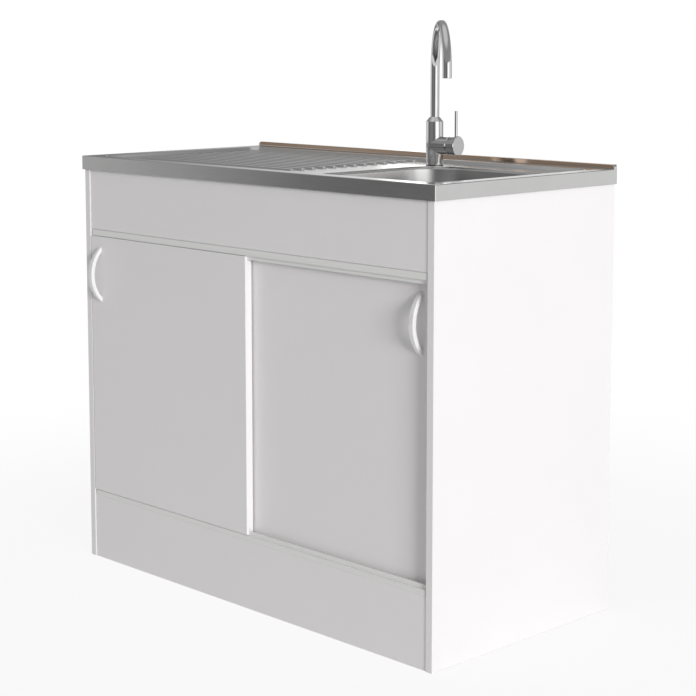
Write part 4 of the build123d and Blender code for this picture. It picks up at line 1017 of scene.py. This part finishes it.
# ---------------------------------------------------------------- stage
# azimuths are degrees round the unit from straight in front of it, to the right
IMAGE_SIDE = 696  # pixels of the square photograph
FOCAL_PIXELS = 1752.2
SENSOR = 36.0  # millimetres
CAMERA_PLACE = (2.4853, -2.3794, 1.0985)
CAMERA_AZIMUTH, CAMERA_RISE = 45.70, 6.79  # the camera looks back along this direction
CAMERA_SHIFT = -0.15  # share of the picture's side
FLOOR_SIZE, FLOOR_DROP = 24.0, 0.5 * MM
FLOOR_GLOW_NEAR, FLOOR_GLOW_FAR = 0.9, 1.0  # how far the floor glows white, under the unit and out
FLOOR_GLOW_REACH = (0.7, 2.0)  # distances from the middle of the unit
KEY_AZIMUTH, KEY_RISE, KEY_DISTANCE = 71.0, 9.0, 20.0
KEY_SIZE = (5.8, 5.0)
WALL_RADIUS, WALL_LOW, WALL_HIGH = 4.5, -0.1, 2.6
FRONT_WALL = [  # azimuth, brightness in the mirror of the steel and the chrome
    (-68.0, 1.0),
    (-42.0, 0.2),
    (-30.0, 0.2),
    (-14.0, 0.27),
    (14.0, 0.27),
    (32.0, 0.19),
    (45.0, 0.19),
    (56.0, 0.9),
    (64.0, 1.75),
    (90.0, 1.75),
    (104.0, 1.0),
]
REAR_WALL = [(146.0, 1.0), (156.0, 0.55), (186.0, 0.4), (200.0, 1.0)]
LEFT_WALL = [
    (-147.0, 0.85),
    (-141.5, 0.85),
    (-140.2, 2.5),
    (-138.6, 2.5),
    (-137.4, 1.8),
    (-136.2, 0.85),
    (-130.0, 0.6),
    (-121.0, 0.24),
    (-112.0, 0.24),
    (-100.0, 1.0),
]
CEILING_LEVEL, CEILING_LIGHT = 0.38, 0.85  # far out and right over the unit
CEILING_LIGHT_REACH = (1.0, 2.6)  # where the light starts to fall off and where it ends
CEILING_HEIGHT, CEILING_SIZE = 3.6, 16.0


def aimed(thing, place, target):
    """Put a lamp or a camera in place and point it."""
    thing.location = place
    thing.rotation_mode = "QUATERNION"
    thing.rotation_quaternion = (target - place).to_track_quat("-Z", "Y")
    bpy.context.scene.collection.objects.link(thing)


def soft_lamp(name, place, target, power, width, height):
    """An area lamp that polished surfaces don't mirror: the walls are what they mirror."""
    data = bpy.data.lights.new(name, "AREA")
    data.shape = "RECTANGLE"
    data.size = width
    data.size_y = height
    data.energy = power
    lamp = bpy.data.objects.new(name, data)
    lamp.visible_glossy = False
    aimed(lamp, place, target)


def seen_rays(tree):
    """1 for the rays that see the background: camera, glossy and through glass."""
    rays = add_node(tree, "ShaderNodeLightPath").outputs
    either = combined(tree, "MAXIMUM", rays["Is Camera Ray"], rays["Is Glossy Ray"])
    return combined(tree, "MAXIMUM", either, rays["Is Transmission Ray"])


def room_light(level):
    """An even world: white where it is seen, level where it lights."""
    world = bpy.data.worlds.new("studio")
    bpy.context.scene.world = world
    world.use_nodes = True
    tree = world.node_tree
    background = tree.nodes["Background"]
    background.inputs["Color"].default_value = (1, 1, 1, 1)
    strength = ramp(tree, seen_rays(tree), 0.0, 1.0, level, 1.0)
    tree.links.new(strength, background.inputs["Strength"])


def level_square(size, height):
    """One level square face, centred over the origin."""
    mesh = bmesh.new()
    half = size / 2
    corners = [(-half, -half), (half, -half), (half, half), (-half, half)]
    mesh.faces.new([mesh.verts.new((x, y, height)) for x, y in corners])
    return mesh


def studio_floor():
    """A pale floor, nearly white where it is seen, that keeps a soft shadow."""
    floor = object_of("studio_floor", level_square(FLOOR_SIZE, 0))
    floor.location.z = -FLOOR_DROP
    finish = Finish("studio_floor")
    tree = finish.tree
    clouds = finish.mask("mottle", Scale=0.8)
    finish.wire(finish.blend(clouds, (0.8, 0.8, 0.8), (0.82, 0.82, 0.82)), "Base Color")
    finish.set(Roughness=0.9)
    glow = finish.add("ShaderNodeEmission", [("Color", (1, 1, 1, 1)), ("Strength", 1.0)])
    glowing = ramp(
        tree,
        finish.plan_distance(),
        *FLOOR_GLOW_REACH,
        FLOOR_GLOW_NEAR,
        FLOOR_GLOW_FAR,
        interpolation_type="SMOOTHSTEP",
    )
    share = combined(tree, "MULTIPLY", seen_rays(tree), glowing)
    mix = finish.add(
        "ShaderNodeMixShader", [(0, share), (1, finish.shader.outputs[0]), (2, glow.outputs[0])]
    )
    tree.links.new(mix.outputs[0], tree.nodes["Material Output"].inputs["Surface"])
    floor.data.materials.append(finish.material)


def mirrored(name, mesh, level_of):
    """A stage piece that only polished surfaces see. level_of wires its brightness."""
    piece = object_of(name, mesh)
    finish = Finish(name)
    glow = finish.add("ShaderNodeEmission", [("Strength", level_of(finish))])
    output = finish.tree.nodes["Material Output"]
    finish.tree.links.new(glow.outputs[0], output.inputs["Surface"])
    piece.data.materials.append(finish.material)
    for ray in ("camera", "diffuse", "transmission", "shadow"):
        setattr(piece, "visible_" + ray, False)


def mirrored_wall(name, levels):
    """A curved wall round the unit, one face to each degree, whose brightness changes along it."""
    first, last = levels[0][0], levels[-1][0]
    steps = round(last - first)
    mesh = bmesh.new()
    rows = []
    for z in (WALL_LOW, WALL_HIGH):
        turns = [math.radians(first + k) for k in range(steps + 1)]
        rows.append([(WALL_RADIUS * math.sin(a), -WALL_RADIUS * math.cos(a), z) for a in turns])
    low, high = (ring_of(mesh, row) for row in rows)
    for k in range(steps):
        mesh.faces.new((low[k], low[k + 1], high[k + 1], high[k]))

    def level_of(finish):
        tree = finish.tree
        turned = finish.add(  # turned until the wall starts at the angle 0
            "ShaderNodeVectorRotate",
            [("Vector", finish.place()), ("Angle", math.radians(90 - first))],
            rotation_type="Z_AXIS",
        )
        axes = finish.axes(turned.outputs[0])
        angle = combined(tree, "ARCTAN2", axes["Y"], axes["X"])
        total = levels[0][1]
        for (a, before), (b, after) in zip(levels, levels[1:]):
            start, end = math.radians(a - first), math.radians(b - first)
            step = ramp(tree, angle, start, end, 0.0, after - before)
            total = combined(tree, "ADD", step, total)
        return total

    mirrored(name, mesh, level_of)


def mirrored_ceiling():
    """A grey ceiling, lighter over the unit."""

    def level_of(finish):
        return ramp(
            finish.tree,
            finish.plan_distance(),
            *CEILING_LIGHT_REACH,
            CEILING_LIGHT,
            CEILING_LEVEL,
            interpolation_type="SMOOTHSTEP",
        )

    mirrored("mirrored_ceiling", level_square(CEILING_SIZE, CEILING_HEIGHT), level_of)


def direction(azimuth, rise):
    """Unit vector from the unit, by its turn from straight in front and its rise, in degrees."""
    turn, lift = math.radians(azimuth), math.radians(rise)
    flat = math.cos(lift)
    return Vector((math.sin(turn) * flat, -math.cos(turn) * flat, math.sin(lift)))


def photo_camera():
    """The camera at the photograph's angle."""
    data = bpy.data.cameras.new("camera")
    data.sensor_width = SENSOR
    data.lens = FOCAL_PIXELS * SENSOR / IMAGE_SIDE
    data.shift_y = CAMERA_SHIFT
    camera = bpy.data.objects.new("camera", data)
    place = Vector(CAMERA_PLACE)
    aimed(camera, place, place - direction(CAMERA_AZIMUTH, CAMERA_RISE))
    bpy.context.scene.camera = camera


class SINKUNIT_OT_stage(bpy.types.Operator):
    """Set the floor, the lamps and the camera at the photograph's angle"""

    bl_idname = "sinkunit.stage"
    bl_label = "Stage"

    def execute(self, context):
        studio = context.scene.sinkunit_studio
        context.scene.view_settings.view_transform = "Standard"
        photo_camera()
        room_light(studio.room_level)
        studio_floor()
        aim = Vector((0, 0, top_high.z / 2))
        place = aim + direction(KEY_AZIMUTH, KEY_RISE) * KEY_DISTANCE
        soft_lamp("key_lamp", place, aim, studio.key_power, *KEY_SIZE)
        mirrored_wall("front_wall", FRONT_WALL)
        mirrored_wall("rear_wall", REAR_WALL)
        mirrored_wall("left_wall", LEFT_WALL)
        mirrored_ceiling()
        return {"FINISHED"}


class SINKUNIT_PT_panel(bpy.types.Panel):
    """Steps of the sink unit, in order"""

    bl_idname = "SINKUNIT_PT_panel"
    bl_label = "Kitchen sink unit"
    bl_space_type = "VIEW_3D"
    bl_region_type = "UI"
    bl_category = "Sink unit"

    def draw(self, context):
        scene = context.scene
        for step in STEPS:
            self.layout.operator(step.bl_idname)
        for group in (scene.sinkunit_top, scene.sinkunit_colours, scene.sinkunit_studio):
            box = self.layout.box()
            for key in group.__annotations__:
                box.prop(group, key)


STEPS = (
    SINKUNIT_OT_boards,
    SINKUNIT_OT_joint_fittings,
    SINKUNIT_OT_doors,
    SINKUNIT_OT_handles,
    SINKUNIT_OT_steel_top,
    SINKUNIT_OT_waste,
    SINKUNIT_OT_tap,
    SINKUNIT_OT_stage,
)
GROUPS = {
    "sinkunit_top": SinkTopSizes,
    "sinkunit_colours": FinishColours,
    "sinkunit_studio": StudioSettings,
}


def register():
    """Add the classes and their settings to the scene."""
    for cls in (*GROUPS.values(), *STEPS, SINKUNIT_PT_panel):
        bpy.utils.register_class(cls)
    for key, group in GROUPS.items():
        setattr(bpy.types.Scene, key, PointerProperty(type=group))


def unregister():
    """Take them away again."""
    for key in GROUPS:
        delattr(bpy.types.Scene, key)
    for cls in reversed((*GROUPS.values(), *STEPS, SINKUNIT_PT_panel)):
        bpy.utils.unregister_class(cls)


def main():
    """Dress the unit step by step and set the stage."""
    register()
    bpy.ops.sinkunit.boards()
    bpy.ops.sinkunit.joint_fittings()
    bpy.ops.sinkunit.doors()
    bpy.ops.sinkunit.handles()
    bpy.ops.sinkunit.steel_top()
    bpy.ops.sinkunit.waste()
    bpy.ops.sinkunit.tap()
    bpy.ops.sinkunit.stage()


if __name__ == "__main__":
    main()
